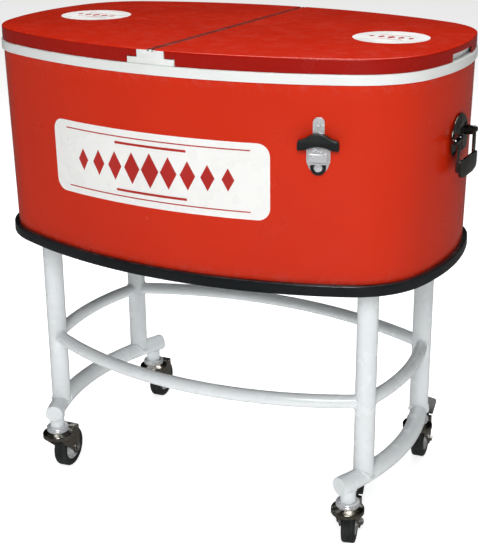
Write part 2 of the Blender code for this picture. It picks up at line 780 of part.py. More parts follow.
def make_opener():
    wall = front_wall_frame(OPENER_X, OPENER_Z, 0.0012)
    plate_t = 0.0026
    plate_mid = Matrix.Translation((0.0, 0.0, plate_t / 2))
    tab_half = 0.00875
    outline = arc((0.0, 0.0345), tab_half, 0, 180, 8)
    outline += [(-tab_half, 0.010), (-0.0180, 0.004), (-0.0180, -0.0260)]
    outline += arc((0.0, -0.0300), 0.0130, 200, 340, 8)
    outline += [(0.0180, -0.0260), (0.0180, 0.004), (tab_half, 0.010)]
    plate = place("opener_plate", slab("opener_plate", outline, plate_t), CHROME,
                  wall @ plate_mid)
    cup = block("cup", (-0.0150, -0.0265, plate_t - 0.0005), (0.0150, -0.0075, 0.0150))
    join(plate, cup, wall)
    cut(plate, block("cup_room", (-0.0120, -0.0225, plate_t + 0.0005), (0.0120, 0.0, 0.0122)),
        wall)
    bevel(plate, 0.0006)

    half_w = 0.032
    bar_outline = [(-tab_half, 0.0195), (-0.0115, 0.0165), (-0.0200, 0.0120)]
    bar_outline += [(-half_w, 0.0085), (-half_w, -0.0060), (-0.0170, -0.0045)]
    bar_outline += [(0.0, -0.0030)]
    bar_outline += [(-x, y) for x, y in reversed(bar_outline[:-1])]
    bar_t = 0.0110
    bar = place("opener_bar", slab("opener_bar", bar_outline, bar_t), BLACK,
                wall @ Matrix.Translation((0.0, 0.0, plate_t + GAP + bar_t / 2)))
    bevel(bar, 0.0020, 2)

    for name, up in (("upper", 0.0320), ("lower", -0.0345)):
        screw = place("opener_" + name + "_screw", turned("screw", [
            (0.0, 0.0028),
            (0.0022, 0.0025),
            (0.0042, 0.0010),
            (0.0044, 0.0),
            (0.0, 0.0),
        ], 16), CHROME, wall @ Matrix.Translation((0.0, up, plate_t + GAP)))
        smooth(screw)


def make_handle(name, side):
    """A pressed plate with two lugs, and a drop bail that hangs from them."""
    wall_x = side * (HALF_LENGTH + lean(HANDLE_Z))
    out = Matrix.Rotation(0.0 if side > 0 else pi, 4, "Z")
    frame = Matrix.Translation((wall_x, 0.0, HANDLE_Z)) @ out
    upright = Matrix.Rotation(pi / 2, 4, "Z") @ Matrix.Rotation(pi / 2, 4, "X")
    plate_r = 0.041
    outline = arc((0.0, -PLATE_BELOW), plate_r, 0, 180, 14)
    outline += [(x, y - PLATE_BELOW) for x, y in (
        (-plate_r, -0.012), (-0.030, -0.022), (0.030, -0.022), (plate_r, -0.012))]
    stand_off = 0.0018
    plate = place(name + "_handle_plate", slab("handle_plate", outline, PLATE_T), DARK_CHROME,
                  frame @ Matrix.Translation((stand_off + PLATE_T / 2, 0.0, 0.0)) @ upright)
    for hand in (-1, 1):
        low, high = sorted((hand * 0.0290, hand * 0.0370))
        join(plate, block("lug", (stand_off + 0.0010, low, -0.0062),
                          (PIVOT_OUT + 0.0050, high, 0.0062)), frame)
    bevel(plate, 0.0008)

    swing = pivot(name + "_bail_axis", (wall_x + side * PIVOT_OUT, 0.0, HANDLE_Z))
    axis_frame = Matrix.Translation((wall_x + side * PIVOT_OUT, 0.0, HANDLE_Z)) @ out
    arm_in = 0.0380
    arm_out = 0.0440
    half_t = 0.0030
    bail = place(name + "_bail", block("bail", (half_t - 0.0015, -arm_out, -BAIL_DROP),
                                       (half_t + 0.0040, arm_out, -BAIL_DROP + GRIP_H)),
                 DARK_CHROME, axis_frame, swing)
    for hand in (-1, 1):
        low, high = sorted((hand * arm_in, hand * arm_out))
        join(bail, block("arm", (-half_t, low, -BAIL_DROP + 0.010), (half_t, high, 0.0)),
             axis_frame)
        bolt_end = PIVOT_BACK if hand * side > 0 else PIVOT_FRONT
        low, high = sorted((hand * arm_in, hand * bolt_end))
        join(bail, rod("boss", 0.0056, low, high, axis="Y", sides=16), axis_frame)
    bevel(bail, 0.0012)


make_tub()
make_centre_bar()
make_drain()
make_lid("left_lid", -1)
make_lid("right_lid", 1)
make_frame()
for caster_corner in SIDES:
    make_caster(caster_corner)
make_opener()
make_handle("left", -1)
make_handle("right", 1)
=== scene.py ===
# %% [markdown]
# A party cooler on wheels: an insulated oval tub in red enamel, two lids that open from the
# middle, and a white tube frame on four swivel casters. The solid model gives every place and
# every joint; this script adds the rounded edges, the small parts and the finishes, one kind
# of part at a time. Lengths are in metres, the front looks towards -Y and up is +Z.

# %% Load the frame
import json
from math import asin, atan2, cos, pi, radians, sin, sqrt, tau

import bmesh
import bpy
from mathutils import Matrix, Vector


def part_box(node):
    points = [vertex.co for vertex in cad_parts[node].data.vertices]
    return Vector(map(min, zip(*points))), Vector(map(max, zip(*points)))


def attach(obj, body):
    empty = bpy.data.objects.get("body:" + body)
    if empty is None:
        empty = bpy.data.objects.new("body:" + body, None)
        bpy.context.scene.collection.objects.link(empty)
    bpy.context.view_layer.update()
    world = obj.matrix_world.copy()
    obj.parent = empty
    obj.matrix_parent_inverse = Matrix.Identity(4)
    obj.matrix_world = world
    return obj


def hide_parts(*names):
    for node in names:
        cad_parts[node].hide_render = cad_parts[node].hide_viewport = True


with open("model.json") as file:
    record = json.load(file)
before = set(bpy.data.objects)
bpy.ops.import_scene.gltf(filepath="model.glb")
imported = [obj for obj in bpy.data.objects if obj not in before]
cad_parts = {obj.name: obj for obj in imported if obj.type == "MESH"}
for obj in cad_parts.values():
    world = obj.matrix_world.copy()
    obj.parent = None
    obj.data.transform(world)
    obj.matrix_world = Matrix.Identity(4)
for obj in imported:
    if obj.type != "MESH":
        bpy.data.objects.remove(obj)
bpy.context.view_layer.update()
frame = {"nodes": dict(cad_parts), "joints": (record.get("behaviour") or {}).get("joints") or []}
nodes = frame["nodes"]
TUB = "tub_and_frame"

# %% [markdown]
# A real enamel has a faint orange peel, dust on what faces up, and a little wear. Each effect
# could be painted by hand on an image, but noise patterns in object space need no unwrapping
# and have no resolution. Each is a node group with its own inputs, so that every finish can
# use it at its own scale.

# %% Group helper
def new_group(name, inputs, outputs):
    """An empty shader group with float inputs (name: default) and float outputs."""
    group = bpy.data.node_groups.new(name, "ShaderNodeTree")
    for label, default in inputs.items():
        socket = group.interface.new_socket(label, in_out="INPUT",
                                            socket_type="NodeSocketFloat")
        socket.default_value = default
    for label in outputs:
        group.interface.new_socket(label, in_out="OUTPUT", socket_type="NodeSocketFloat")
    return group, group.nodes.new("NodeGroupInput"), group.nodes.new("NodeGroupOutput")


def feed(tree, socket, value):
    """Sets a socket to a number or a colour, or links another socket to it."""
    if isinstance(value, (int, float, tuple)):
        socket.default_value = value
    else:
        tree.links.new(value, socket)


def math_node(tree, operation, first, second):
    """A Math node; each operand is a socket or a number."""
    node = tree.nodes.new("ShaderNodeMath")
    node.operation = operation
    feed(tree, node.inputs[0], first)
    feed(tree, node.inputs[1], second)
    return node.outputs[0]


def noise_node(tree, scale, detail=3.0, vector=None):
    """A Noise texture on the piece's own object space."""
    if vector is None:
        vector = tree.nodes.new("ShaderNodeTexCoord").outputs["Object"]
    node = tree.nodes.new("ShaderNodeTexNoise")
    node.inputs["Detail"].default_value = detail
    tree.links.new(vector, node.inputs["Vector"])
    feed(tree, node.inputs["Scale"], scale)
    return node.outputs["Fac"]


def spread(tree, value, low, high):
    """Maps the span low..high of a value to 0..1, with soft ends."""
    node = tree.nodes.new("ShaderNodeMapRange")
    node.interpolation_type = "SMOOTHSTEP"
    for label, amount in (("Value", value), ("From Min", low), ("From Max", high)):
        feed(tree, node.inputs[label], amount)
    return node.outputs["Result"]


def give_mask(tree, mask, inside, out):
    """Ends a group: the mask times the group's Amount."""
    tree.links.new(math_node(tree, "MULTIPLY", mask, inside.outputs["Amount"]),
                   out.inputs["Mask"])


# %% Blotches: slow changes of tone or gloss
blotches, inside, out = new_group("blotches", {"Scale": 8.0, "Low": 0.35, "High": 0.7}, ["Mask"])
cloud = noise_node(blotches, inside.outputs["Scale"], 4.0)
blotches.links.new(spread(blotches, cloud, inside.outputs["Low"], inside.outputs["High"]),
                   out.inputs["Mask"])

# %% Relief: orange peel or moulded grain, with a finer grain on top
relief, inside, out = new_group("relief", {"Scale": 300.0, "Fine": 0.25}, ["Height"])
coarse = noise_node(relief, inside.outputs["Scale"], 2.0)
fine_scale = math_node(relief, "MULTIPLY", inside.outputs["Scale"], 5.0)
fine = math_node(relief, "MULTIPLY", noise_node(relief, fine_scale, 2.0),
                 inside.outputs["Fine"])
relief.links.new(math_node(relief, "ADD", coarse, fine), out.inputs["Height"])

# %% Settled dust: on faces that look up, broken by noise
dust, inside, out = new_group("settled_dust", {"Amount": 0.2, "Scale": 40.0}, ["Mask"])
normal = dust.nodes.new("ShaderNodeNewGeometry").outputs["Normal"]
split = dust.nodes.new("ShaderNodeSeparateXYZ")
dust.links.new(normal, split.inputs[0])
upward = spread(dust, split.outputs["Z"], 0.2, 1.0)
patches = spread(dust, noise_node(dust, inside.outputs["Scale"], 6.0), 0.42, 0.75)
give_mask(dust, math_node(dust, "MULTIPLY", upward, patches), inside, out)

# %% Rubbed edges: convex edges, broken by noise
rubbed, inside, out = new_group("rubbed_edges", {"Amount": 0.5, "Scale": 90.0}, ["Mask"])
pointed = rubbed.nodes.new("ShaderNodeNewGeometry").outputs["Pointiness"]
edges_only = spread(rubbed, pointed, 0.52, 0.60)
broken = spread(rubbed, noise_node(rubbed, inside.outputs["Scale"], 5.0), 0.45, 0.65)
give_mask(rubbed, math_node(rubbed, "MULTIPLY", edges_only, broken), inside, out)

# %% Hairlines: fine scratches in two directions
hairlines, inside, out = new_group("hairlines", {"Scale": 30.0, "Amount": 0.3}, ["Mask"])
space = hairlines.nodes.new("ShaderNodeTexCoord").outputs["Object"]
lines = []
for stretch, tilt in (((1.0, 14.0, 20.0), 0.5), ((16.0, 1.0, 12.0), -0.9)):
    place_it = hairlines.nodes.new("ShaderNodeMapping")
    place_it.inputs["Scale"].default_value = stretch
    place_it.inputs["Rotation"].default_value = (0.3, tilt, tilt)
    hairlines.links.new(space, place_it.inputs["Vector"])
    streak = noise_node(hairlines, inside.outputs["Scale"], 2.0, place_it.outputs[0])
    lines.append(spread(hairlines, streak, 0.64, 0.70))
give_mask(hairlines, math_node(hairlines, "MAXIMUM", *lines), inside, out)
print("groups:", [group.name for group in bpy.data.node_groups])

# %% [markdown]
# Every finish here is the same recipe with its own values: a colour that drifts a little,
# dust and rubbed edges over it, gloss that changes in blotches and along scratches, and a
# small relief. One function keeps the recipe in one place; the shader stays in the material.

# %% The finish recipe
def place_group(tree, group, **values):
    """A group in a material's tree, with its own values."""
    node = tree.nodes.new("ShaderNodeGroup")
    node.node_tree = group
    for label, value in values.items():
        node.inputs[label].default_value = value
    return node.outputs[0]


def mix_colour(tree, mask, under, over):
    """Lays a colour over another by a mask."""
    node = tree.nodes.new("ShaderNodeMix")
    node.data_type = "RGBA"
    tree.links.new(mask, node.inputs[0])
    for slot, value in ((node.inputs[6], under), (node.inputs[7], over)):
        feed(tree, slot, (*value, 1.0) if isinstance(value, tuple) else value)
    return node.outputs[2]


DUST_COLOUR = (0.55, 0.50, 0.43)


def finish(name, colour, drift, gloss, metallic=0.0, tone_scale=7.0, grain=300.0,
           depth=0.00002, dusty=0.15, wear=0.3, bare=(0.35, 0.33, 0.31), scratch=0.2,
           **shader_values):
    """A material: colour drifts to drift, roughness runs over the pair gloss."""
    material = bpy.data.materials.new(name)
    material.use_nodes = True
    tree = material.node_tree
    shader = tree.nodes["Principled BSDF"]
    tones = place_group(tree, blotches, Scale=tone_scale, Low=0.3, High=0.75)
    shade = mix_colour(tree, tones, colour, drift)
    if wear:
        shade = mix_colour(tree, place_group(tree, rubbed, Amount=wear, Scale=90.0),
                           shade, bare)
    if dusty:
        shade = mix_colour(tree, place_group(tree, dust, Amount=dusty, Scale=45.0),
                           shade, DUST_COLOUR)
    tree.links.new(shade, shader.inputs["Base Color"])
    uneven = place_group(tree, blotches, Scale=tone_scale * 3.7, Low=0.3, High=0.8)
    scuffs = place_group(tree, hairlines, Scale=22.0, Amount=scratch)
    both = math_node(tree, "MAXIMUM", uneven, scuffs)
    rough = tree.nodes.new("ShaderNodeMapRange")
    rough.inputs["To Min"].default_value, rough.inputs["To Max"].default_value = gloss
    tree.links.new(both, rough.inputs["Value"])
    tree.links.new(rough.outputs["Result"], shader.inputs["Roughness"])
    bump = tree.nodes.new("ShaderNodeBump")
    bump.inputs["Distance"].default_value = depth
    tree.links.new(place_group(tree, relief, Scale=grain), bump.inputs["Height"])
    tree.links.new(bump.outputs["Normal"], shader.inputs["Normal"])
    shader.inputs["Metallic"].default_value = metallic
    for label, value in shader_values.items():
        shader.inputs[label.replace("_", " ")].default_value = value
    return material


# %% Enamels and paints
GLOSSY = {"grain": 260.0, "dusty": 0.03, "Specular_IOR_Level": 0.35, "Coat_Weight": 0.15,
          "Coat_Roughness": 0.10}
RED = finish("red_enamel", (0.660, 0.026, 0.003), (0.630, 0.023, 0.0026), (0.22, 0.28),
             tone_scale=4.0, wear=0.10, scratch=0.25, **GLOSSY)
LID_RED = finish("lid_enamel", (0.600, 0.020, 0.004), (0.585, 0.019, 0.0038), (0.24, 0.29),
                 tone_scale=5.0, wear=0.25, bare=(0.80, 0.30, 0.22), scratch=0.12, **GLOSSY)
# The skirt is the same folded red sheet as the lid top; its much darker red is painted shade on
# the upright faces.
SKIRT_PAINTED_SHADE_RED = finish("skirt_enamel_painted_shade", (0.370, 0.007, 0.002), (0.330, 0.006, 0.002), (0.22, 0.34),
                   tone_scale=5.0, grain=260.0, dusty=0.0, wear=0.2,
                   bare=(0.75, 0.25, 0.18), scratch=0.3, Specular_IOR_Level=0.30)
# The hinge barrels are the lids' red enamel; this dark red is painted shade that stands for the
# seam's gap and its shadow.
BARREL_PAINTED_SHADE_RED = finish("barrel_enamel_painted_shade", (0.200, 0.012, 0.005), (0.150, 0.010, 0.005),
                    (0.30, 0.50), dusty=0.08, wear=0.0)
FRAME_WHITE = finish("frame_enamel", (0.90, 0.94, 0.955), (0.87, 0.915, 0.93), (0.20, 0.32),
                     tone_scale=9.0, grain=420.0, depth=0.00003, dusty=0.015, wear=0.06,
                     bare=(0.55, 0.55, 0.54), scratch=0.2, Coat_Weight=0.25,
                     Coat_Roughness=0.15)
BASE_BLACK = finish("base_paint", (0.018, 0.018, 0.020), (0.030, 0.029, 0.028), (0.40, 0.60),
                    grain=500.0, depth=0.00005, dusty=0.2)

# %% Plastics and rubber
TRIM_WHITE = finish("trim_plastic", (0.86, 0.88, 0.87), (0.80, 0.82, 0.80), (0.28, 0.42),
                    grain=900.0, dusty=0.12, wear=0.1, bare=(0.9, 0.9, 0.9),
                    Subsurface_Weight=0.05, Subsurface_Scale=0.003)
LINER_WHITE = finish("liner_plastic", (0.80, 0.82, 0.81), (0.74, 0.76, 0.75), (0.38, 0.55),
                     grain=1200.0, depth=0.00003, dusty=0.06, wear=0.0,
                     Subsurface_Weight=0.05, Subsurface_Scale=0.004)
RIM_BLACK = finish("rim_plastic", (0.008, 0.010, 0.012), (0.016, 0.018, 0.020), (0.12, 0.28),
                   grain=600.0, dusty=0.05, wear=0.15, bare=(0.07, 0.07, 0.07))
MOULDED_BLACK = finish("moulded_black", (0.008, 0.010, 0.010), (0.016, 0.019, 0.019),
                       (0.30, 0.50), grain=1500.0, depth=0.00006, dusty=0.04, wear=0.15,
                       bare=(0.09, 0.09, 0.09))
TYRE = finish("tyre_rubber", (0.014, 0.017, 0.018), (0.035, 0.037, 0.037), (0.42, 0.70),
              tone_scale=40.0, grain=1400.0, depth=0.00010, dusty=0.10, wear=0.2,
              bare=(0.07, 0.07, 0.065))
FOAM = finish("insulation", (0.82, 0.76, 0.55), (0.74, 0.66, 0.44), (0.85, 0.95), grain=700.0,
              depth=0.0004, dusty=0.0, wear=0.0, scratch=0.0)

# %% Metals
CHROME = finish("bright_chrome", (0.92, 0.93, 0.95), (0.84, 0.85, 0.87), (0.14, 0.32),
                metallic=0.50, tone_scale=30.0, grain=900.0, depth=0.00001, dusty=0.05,
                wear=0.0, scratch=0.6)
SMOKED = finish("smoked_chrome", (0.44, 0.42, 0.39), (0.36, 0.32, 0.26), (0.14, 0.30),
                metallic=1.0, tone_scale=24.0, grain=700.0, dusty=0.14,
                wear=0.5, bare=(0.70, 0.68, 0.64), scratch=0.5)
HANDLE_DARK = finish("handle_chrome", (0.20, 0.205, 0.20), (0.13, 0.13, 0.125), (0.08, 0.24),
                     metallic=1.0, tone_scale=30.0, grain=700.0, dusty=0.03,
                     wear=0.7, bare=(0.85, 0.84, 0.82), scratch=0.4)
ZINC = finish("zinc_steel", (0.58, 0.58, 0.57), (0.46, 0.45, 0.43), (0.22, 0.42),
              metallic=1.0, tone_scale=60.0, grain=1200.0, depth=0.00003, dusty=0.12,
              wear=0.3, bare=(0.75, 0.74, 0.72))

# %% Printed vinyl
PRINT = {"grain": 1000.0, "depth": 0.00001, "wear": 0.0, "scratch": 0.4}
VINYL = finish("label_vinyl", (0.95, 0.95, 0.93), (0.91, 0.91, 0.89), (0.24, 0.40),
               dusty=0.05, **PRINT)
INK_RED = finish("red_ink", (0.52, 0.018, 0.012), (0.44, 0.014, 0.010), (0.28, 0.44),
                 dusty=0.04, **PRINT)
print("finishes:", len(bpy.data.materials))

# %% [markdown]
# Small parts repeat the same few steps: turn a profile, stamp a plate, roll a bar, then round
# the edges. Each step is one Blender operator with a short name here, and keep() gives the
# finished mesh to a body.

# %% Keep a finished mesh as a piece
SHARP = radians(34)


def into_scene(name, data):
    """A new object that holds the data."""
    item = bpy.data.objects.new(name, data)
    bpy.context.scene.collection.objects.link(item)
    return item


def keep(bm, name, look, body, slot, stands_for=()):
    """Closes a mesh, smooths all but its sharp edges and rides it on a body."""
    bmesh.ops.remove_doubles(bm, verts=bm.verts, dist=1e-6)
    bmesh.ops.recalc_face_normals(bm, faces=bm.faces)
    for face in bm.faces:
        face.smooth = True
    for edge in bm.edges:
        edge.smooth = len(edge.link_faces) == 2 and edge.calc_face_angle() < SHARP
    mesh = bpy.data.meshes.new(name)
    bm.to_mesh(mesh)
    bm.free()
    for material in look if isinstance(look, tuple) else (look,):
        mesh.materials.append(material)
    piece = into_scene(name, mesh)
    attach(piece, body)
    if stands_for:
        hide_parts(*stands_for)
    print(f"{name}: {len(mesh.polygons)} faces")
    return piece


def add(bm, part, matrix=Matrix.Identity(4)):
    """Places a part into a larger mesh."""
    part.transform(matrix)
    lent = bpy.data.meshes.new("lent")
    part.to_mesh(lent)
    part.free()
    bm.from_mesh(lent)
    bpy.data.meshes.remove(lent)
    return bm


def placed(part, matrix):
    """The part on its own, moved to its place."""
    return add(bmesh.new(), part, matrix)


def thicken(bm, thickness):
    """Raises a flat mesh into a plate."""
    grown = bmesh.ops.extrude_face_region(bm, geom=bm.faces[:])["geom"]
    bmesh.ops.translate(bm, vec=(0, 0, thickness),
                        verts=[item for item in grown if isinstance(item, bmesh.types.BMVert)])


# %% Round every sharp edge
def ease(bm, width, segments=2, angle=50):
    """Bevels the edges sharper than an angle in degrees."""
    bmesh.ops.recalc_face_normals(bm, faces=bm.faces)
    sharp = [edge for edge in bm.edges
             if len(edge.link_faces) == 2 and edge.calc_face_angle() > radians(angle)]
    bmesh.ops.bevel(bm, geom=sharp, offset=width, segments=segments, profile=0.5,
                    affect="EDGES", material=-1, clamp_overlap=True)
    return bm


# %% Turn, stamp, and cut bars
def chain(bm, points, closed=False):
    """Vertices joined in a row by edges, as geometry for an operator."""
    verts = [bm.verts.new(point) for point in points]
    pairs = list(zip(verts, verts[1:])) + ([(verts[-1], verts[0])] if closed else [])
    return verts + [bm.edges.new(pair) for pair in pairs]


def turned(profile, steps=48, closed=False):
    """A round part about Z from (radius, height) pairs."""
    bm = bmesh.new()
    geom = chain(bm, [(radius, 0.0, height) for radius, height in profile], closed)
    bmesh.ops.spin(bm, geom=geom, cent=(0, 0, 0), axis=(0, 0, 1), dvec=(0, 0, 0), angle=tau,
                   steps=steps, use_merge=True, use_duplicate=False)
    bmesh.ops.remove_doubles(bm, verts=bm.verts, dist=1e-6)
    return bm


def stamped(corners, thickness, edge=0.0005, segments=2):
    """A plate in XY, thickness up Z, from (x, y, corner radius) triples."""
    bm = bmesh.new()
    verts = [bm.verts.new((x, y, 0.0)) for x, y, radius in corners]
    bm.faces.new(verts)
    for vert, (x, y, radius) in zip(verts, corners):
        if radius:
            bmesh.ops.bevel(bm, geom=[vert], offset=radius, segments=6, profile=0.5,
                            affect="VERTICES", material=-1, clamp_overlap=True)
    thicken(bm, thickness)
    return ease(bm, edge, segments, 60) if edge else bm


def mirrored(half):
    """A half outline of (x, y, radius) corners with its mirror image."""
    return half + [(-x, y, radius) for x, y, radius in reversed(half) if x]


def bar(low, high, edge=0.0006, segments=2):
    """A block between two corners with eased edges."""
    bm = bmesh.new()
    low, high = Vector(low), Vector(high)
    bmesh.ops.create_cube(bm, size=1.0)
    bmesh.ops.scale(bm, vec=high - low, verts=bm.verts)
    bmesh.ops.translate(bm, vec=(low + high) / 2, verts=bm.verts)
    return ease(bm, edge, segments)


def drum(radius, low, high, segments=40, edge=0.0005):
    """A cylinder or prism about Z between two heights."""
    bm = bmesh.new()
    bmesh.ops.create_cone(bm, cap_ends=True, segments=segments, radius1=radius,
                          radius2=radius, depth=high - low,
                          matrix=Matrix.Translation((0, 0, (low + high) / 2)))
    return ease(bm, edge) if edge else bm


def shift(x=0.0, y=0.0, z=0.0):
    """A move, as a matrix."""
    return Matrix.Translation((x, y, z))


def turn(angle, axis):
    """A turn about a world axis, as a matrix."""
    return Matrix.Rotation(angle, 4, axis)


WHITE_TUBE = (FRAME_WHITE, TUB, "frame_paint")
WHITE_TRIM = (TRIM_WHITE, TUB, "trim_plastic")
MOULDED = (MOULDED_BLACK, TUB, "black_plastic")
PLATED = (CHROME, TUB, "bright_chrome")
LIDS = (("left_lid", -1), ("right_lid", 1))

# %% [markdown]
# The tub's plan is four wide arcs and four corner arcs, each tangent to the next, so the
# sheet metal runs round without a kink. Spinning an upright profile about each arc's centre in
# turn gives exactly that wall, and mirroring the quarter twice closes it. The same sweep makes
# the shell, the collar, the foot rim and the lids, so they nest as the rolled parts do.

# %% The plan
HALF_LENGTH, HALF_DEPTH = 0.406, 0.2704
FRONT_RADIUS, END_RADIUS, CORNER_RADIUS = 0.80, 0.446, 0.141
back_hub = Vector((0.0, HALF_DEPTH - FRONT_RADIUS, 0.0))
end_hub = Vector((HALF_LENGTH - END_RADIUS, 0.0, 0.0))
between = end_hub - back_hub
far, near = FRONT_RADIUS - CORNER_RADIUS, END_RADIUS - CORNER_RADIUS
along = (far ** 2 - near ** 2 + between.length ** 2) / (2 * between.length)
forward = between.normalized()
corner_hub = (back_hub + forward * along
              + Vector((forward.y, -forward.x, 0.0)) * sqrt(far ** 2 - along ** 2))
back_angle = atan2(*(corner_hub - back_hub).yx)
end_angle = atan2(*(corner_hub - end_hub).yx)
ARCS = ((back_hub, pi / 2 - back_angle, 22), (corner_hub, back_angle - end_angle, 14),
        (end_hub, end_angle, 8))
print("corner arc centre:", [round(value, 4) for value in corner_hub])


# %% Sweep a profile round the plan
def swept(profile, closed=False):
    """(offset, height) pairs carried round the plan; offset 0 is the wall at the collar."""
    bm = bmesh.new()
    geom = chain(bm, [(0.0, HALF_DEPTH + offset, height) for offset, height in profile], closed)
    for hub, angle, steps in ARCS:
        geom = bmesh.ops.spin(bm, geom=geom, cent=hub, axis=(0, 0, 1), dvec=(0, 0, 0),
                              angle=-angle, steps=steps, use_merge=False,
                              use_duplicate=False)["geom_last"]
    for axis in "XY":
        bmesh.ops.mirror(bm, geom=bm.verts[:] + bm.edges[:] + bm.faces[:],
                         matrix=Matrix.Identity(4), merge_dist=1e-5, axis=axis)
    bmesh.ops.remove_doubles(bm, verts=bm.verts, dist=1e-5)
    bmesh.ops.recalc_face_normals(bm, faces=bm.faces)
    return bm


def round_off(centre, radius, start, stop, steps=5):
    """Points of a small arc, angles in degrees, for a profile."""
    return [(centre[0] + radius * cos(radians(start + (stop - start) * i / steps)),
             centre[1] + radius * sin(radians(start + (stop - start) * i / steps)))
            for i in range(steps + 1)]


# %% Heights
RIM_BOTTOM, RIM_TOP = 0.481, 0.500
COLLAR_BOTTOM, COLLAR_TOP = 0.8125, 0.8283
LID_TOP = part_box("left_lid_skin")[1].z - 0.0004
TAPER = 0.005
SHEET = 0.0012


def lean(height):
    """How far the wall stands in at a height."""
    return -TAPER * (COLLAR_BOTTOM - height) / (COLLAR_BOTTOM - RIM_TOP)


# %% [markdown]
# The shell is a wrapped sheet with a lock seam down the back. A plain sweep is enough for the
# wall, with a Solidify modifier for the sheet's thickness; the seam is a flat folded strip.

# %% Tub shell
shell_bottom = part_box("outer_shell")[0].z
shell_top = COLLAR_TOP - 0.0040
heights = [shell_bottom + (shell_top - shell_bottom) * i / 10 for i in range(11)]
wall = [(min(lean(height), 0.0), height) for height in heights[:-1]] + [(0.0, heights[-1])]
shell = keep(swept(wall), "tub_shell", RED, TUB, "red_paint", ["outer_shell"])
thick = shell.modifiers.new("sheet", "SOLIDIFY")
thick.thickness, thick.offset = SHEET, -1.0

# %% Back seam
seam = bar((-0.007, -0.0006, 0.0), (0.007, 0.0006, 0.300), 0.0005)
wall_lean = atan2(TAPER, COLLAR_BOTTOM - RIM_TOP)
seam.transform(shift(0.0, HALF_DEPTH + lean(0.507), 0.507) @ turn(-wall_lean, "X"))
keep(seam, "tub_back_seam", RED, TUB, "red_paint")

# %% Collar
flange = COLLAR_TOP - 0.0032
PROUD = 0.0034
profile = [(0.0003, COLLAR_BOTTOM)]
profile += round_off((PROUD - 0.0010, COLLAR_BOTTOM + 0.0010), 0.0010, -90, 0, 3)
profile += round_off((PROUD - 0.0022, COLLAR_TOP - 0.0022), 0.0022, 0, 90)
profile += [(-0.0300, COLLAR_TOP), (-0.0304, COLLAR_TOP - 0.0004), (-0.0304, flange),
            (0.0003, flange)]
keep(swept(profile, True), "white_collar", *WHITE_TRIM, ["top_collar"])

# %% Foot rim
foot = lean(RIM_TOP)
profile = [(foot + 0.0003, RIM_TOP)]
profile += round_off((foot + 0.0060, RIM_TOP - 0.0026), 0.0026, 90, 20, 4)
profile += round_off((foot + 0.0052, RIM_BOTTOM + 0.0036), 0.0036, -10, -90, 5)
profile += [(foot - 0.0100, RIM_BOTTOM), (foot - 0.0100, 0.4837), (foot + 0.0003, 0.4837)]
keep(swept(profile, True), "black_foot_rim", RIM_BLACK, TUB, "rim_plastic", ["base_rim"])

# %% [markdown]
# Each lid cover is a sheet folded down all round into a skirt. The whole top is swept once,
# then cut along the middle; the skirt is notched where the white bracket stands and at the end
# for the fingers. Cutting with planes and deleting the faces between keeps clean edges.

# %% Lid covers
LID_PROUD = 0.0013
FOLD = 0.0022
skirt_bottom = COLLAR_TOP + 0.0003
BLOCK_GAP, STEP_GAP = 0.02375 + 0.0012, 0.0415 + 0.0012
STEP_TOP = skirt_bottom + 0.0100 + 0.0006
NOTCH_HALF, NOTCH_TOP = 0.047, skirt_bottom + 0.012
MIDDLE = 0.0071


def slice_at(bm, point, direction, clear=False):
    """Cuts the mesh along a plane; clear drops the side that direction points to."""
    bmesh.ops.bisect_plane(bm, geom=bm.verts[:] + bm.edges[:] + bm.faces[:], dist=1e-7,
                           plane_co=point, plane_no=direction, clear_outer=clear,
                           clear_inner=False)


def lid_cover(side):
    """One lid's folded sheet, closed at the top and notched in its skirt."""
    sheet = [(LID_PROUD, skirt_bottom), (LID_PROUD, LID_TOP - FOLD - 0.004)]
    sheet += round_off((LID_PROUD - FOLD, LID_TOP - FOLD), FOLD, 0, 90, 4)
    bm = swept(sheet)
    rim = [edge for edge in bm.edges if edge.is_boundary
           and min(vert.co.z for vert in edge.verts) > LID_TOP - 1e-4]
    bmesh.ops.contextual_create(bm, geom=rim)
    slice_at(bm, (side * MIDDLE, 0, 0), (-side, 0, 0), True)
    for x in (BLOCK_GAP, STEP_GAP):
        slice_at(bm, (side * x, 0, 0), (1, 0, 0))
    for z in (STEP_TOP, LID_TOP - FOLD, NOTCH_TOP):
        slice_at(bm, (0, 0, z), (0, 0, 1))
    for y in (-NOTCH_HALF, NOTCH_HALF):
        slice_at(bm, (0, y, 0), (0, 1, 0))
    gone = []
    for face in bm.faces:
        middle = face.calc_center_median()
        x, upright = side * middle.x, abs(face.normal.z) < 0.5
        in_block = x < BLOCK_GAP and middle.z < LID_TOP - FOLD
        in_step = x < STEP_GAP and middle.z < STEP_TOP
        in_notch = x > 0.35 and abs(middle.y) < NOTCH_HALF and middle.z < NOTCH_TOP
        if upright and (in_block or in_step or in_notch):
            gone.append(face)
    bmesh.ops.delete(bm, geom=gone, context="FACES")
    bmesh.ops.recalc_face_normals(bm, faces=bm.faces)
    # Upright faces take the second, darker red: painted shade on the skirt.
    for face in bm.faces:
        face.material_index = int(abs(face.normal.z) < 0.5)
    return bm


for label, side in LIDS:
    cover = keep(lid_cover(side), label + "_cover", (LID_RED, SKIRT_PAINTED_SHADE_RED), label, "red_paint",
                 [label + "_skin"])
    thick = cover.modifiers.new("sheet", "SOLIDIFY")
    thick.thickness, thick.offset, thick.use_even_offset = SHEET - 0.0002, -1.0, True
    worn = cover.modifiers.new("eased", "BEVEL")
    worn.width, worn.segments, worn.limit_method = 0.0003, 2, "ANGLE"
    worn.angle_limit = radians(50)

# %% [markdown]
# The bar with its stepped ends already has the right shape and only needs its edges rounded.
# A merged copy of the solid is bevelled, because its own loose triangles are left alone. The
# liner, the lid panels and other plain solids stay as they are and only get a finish.

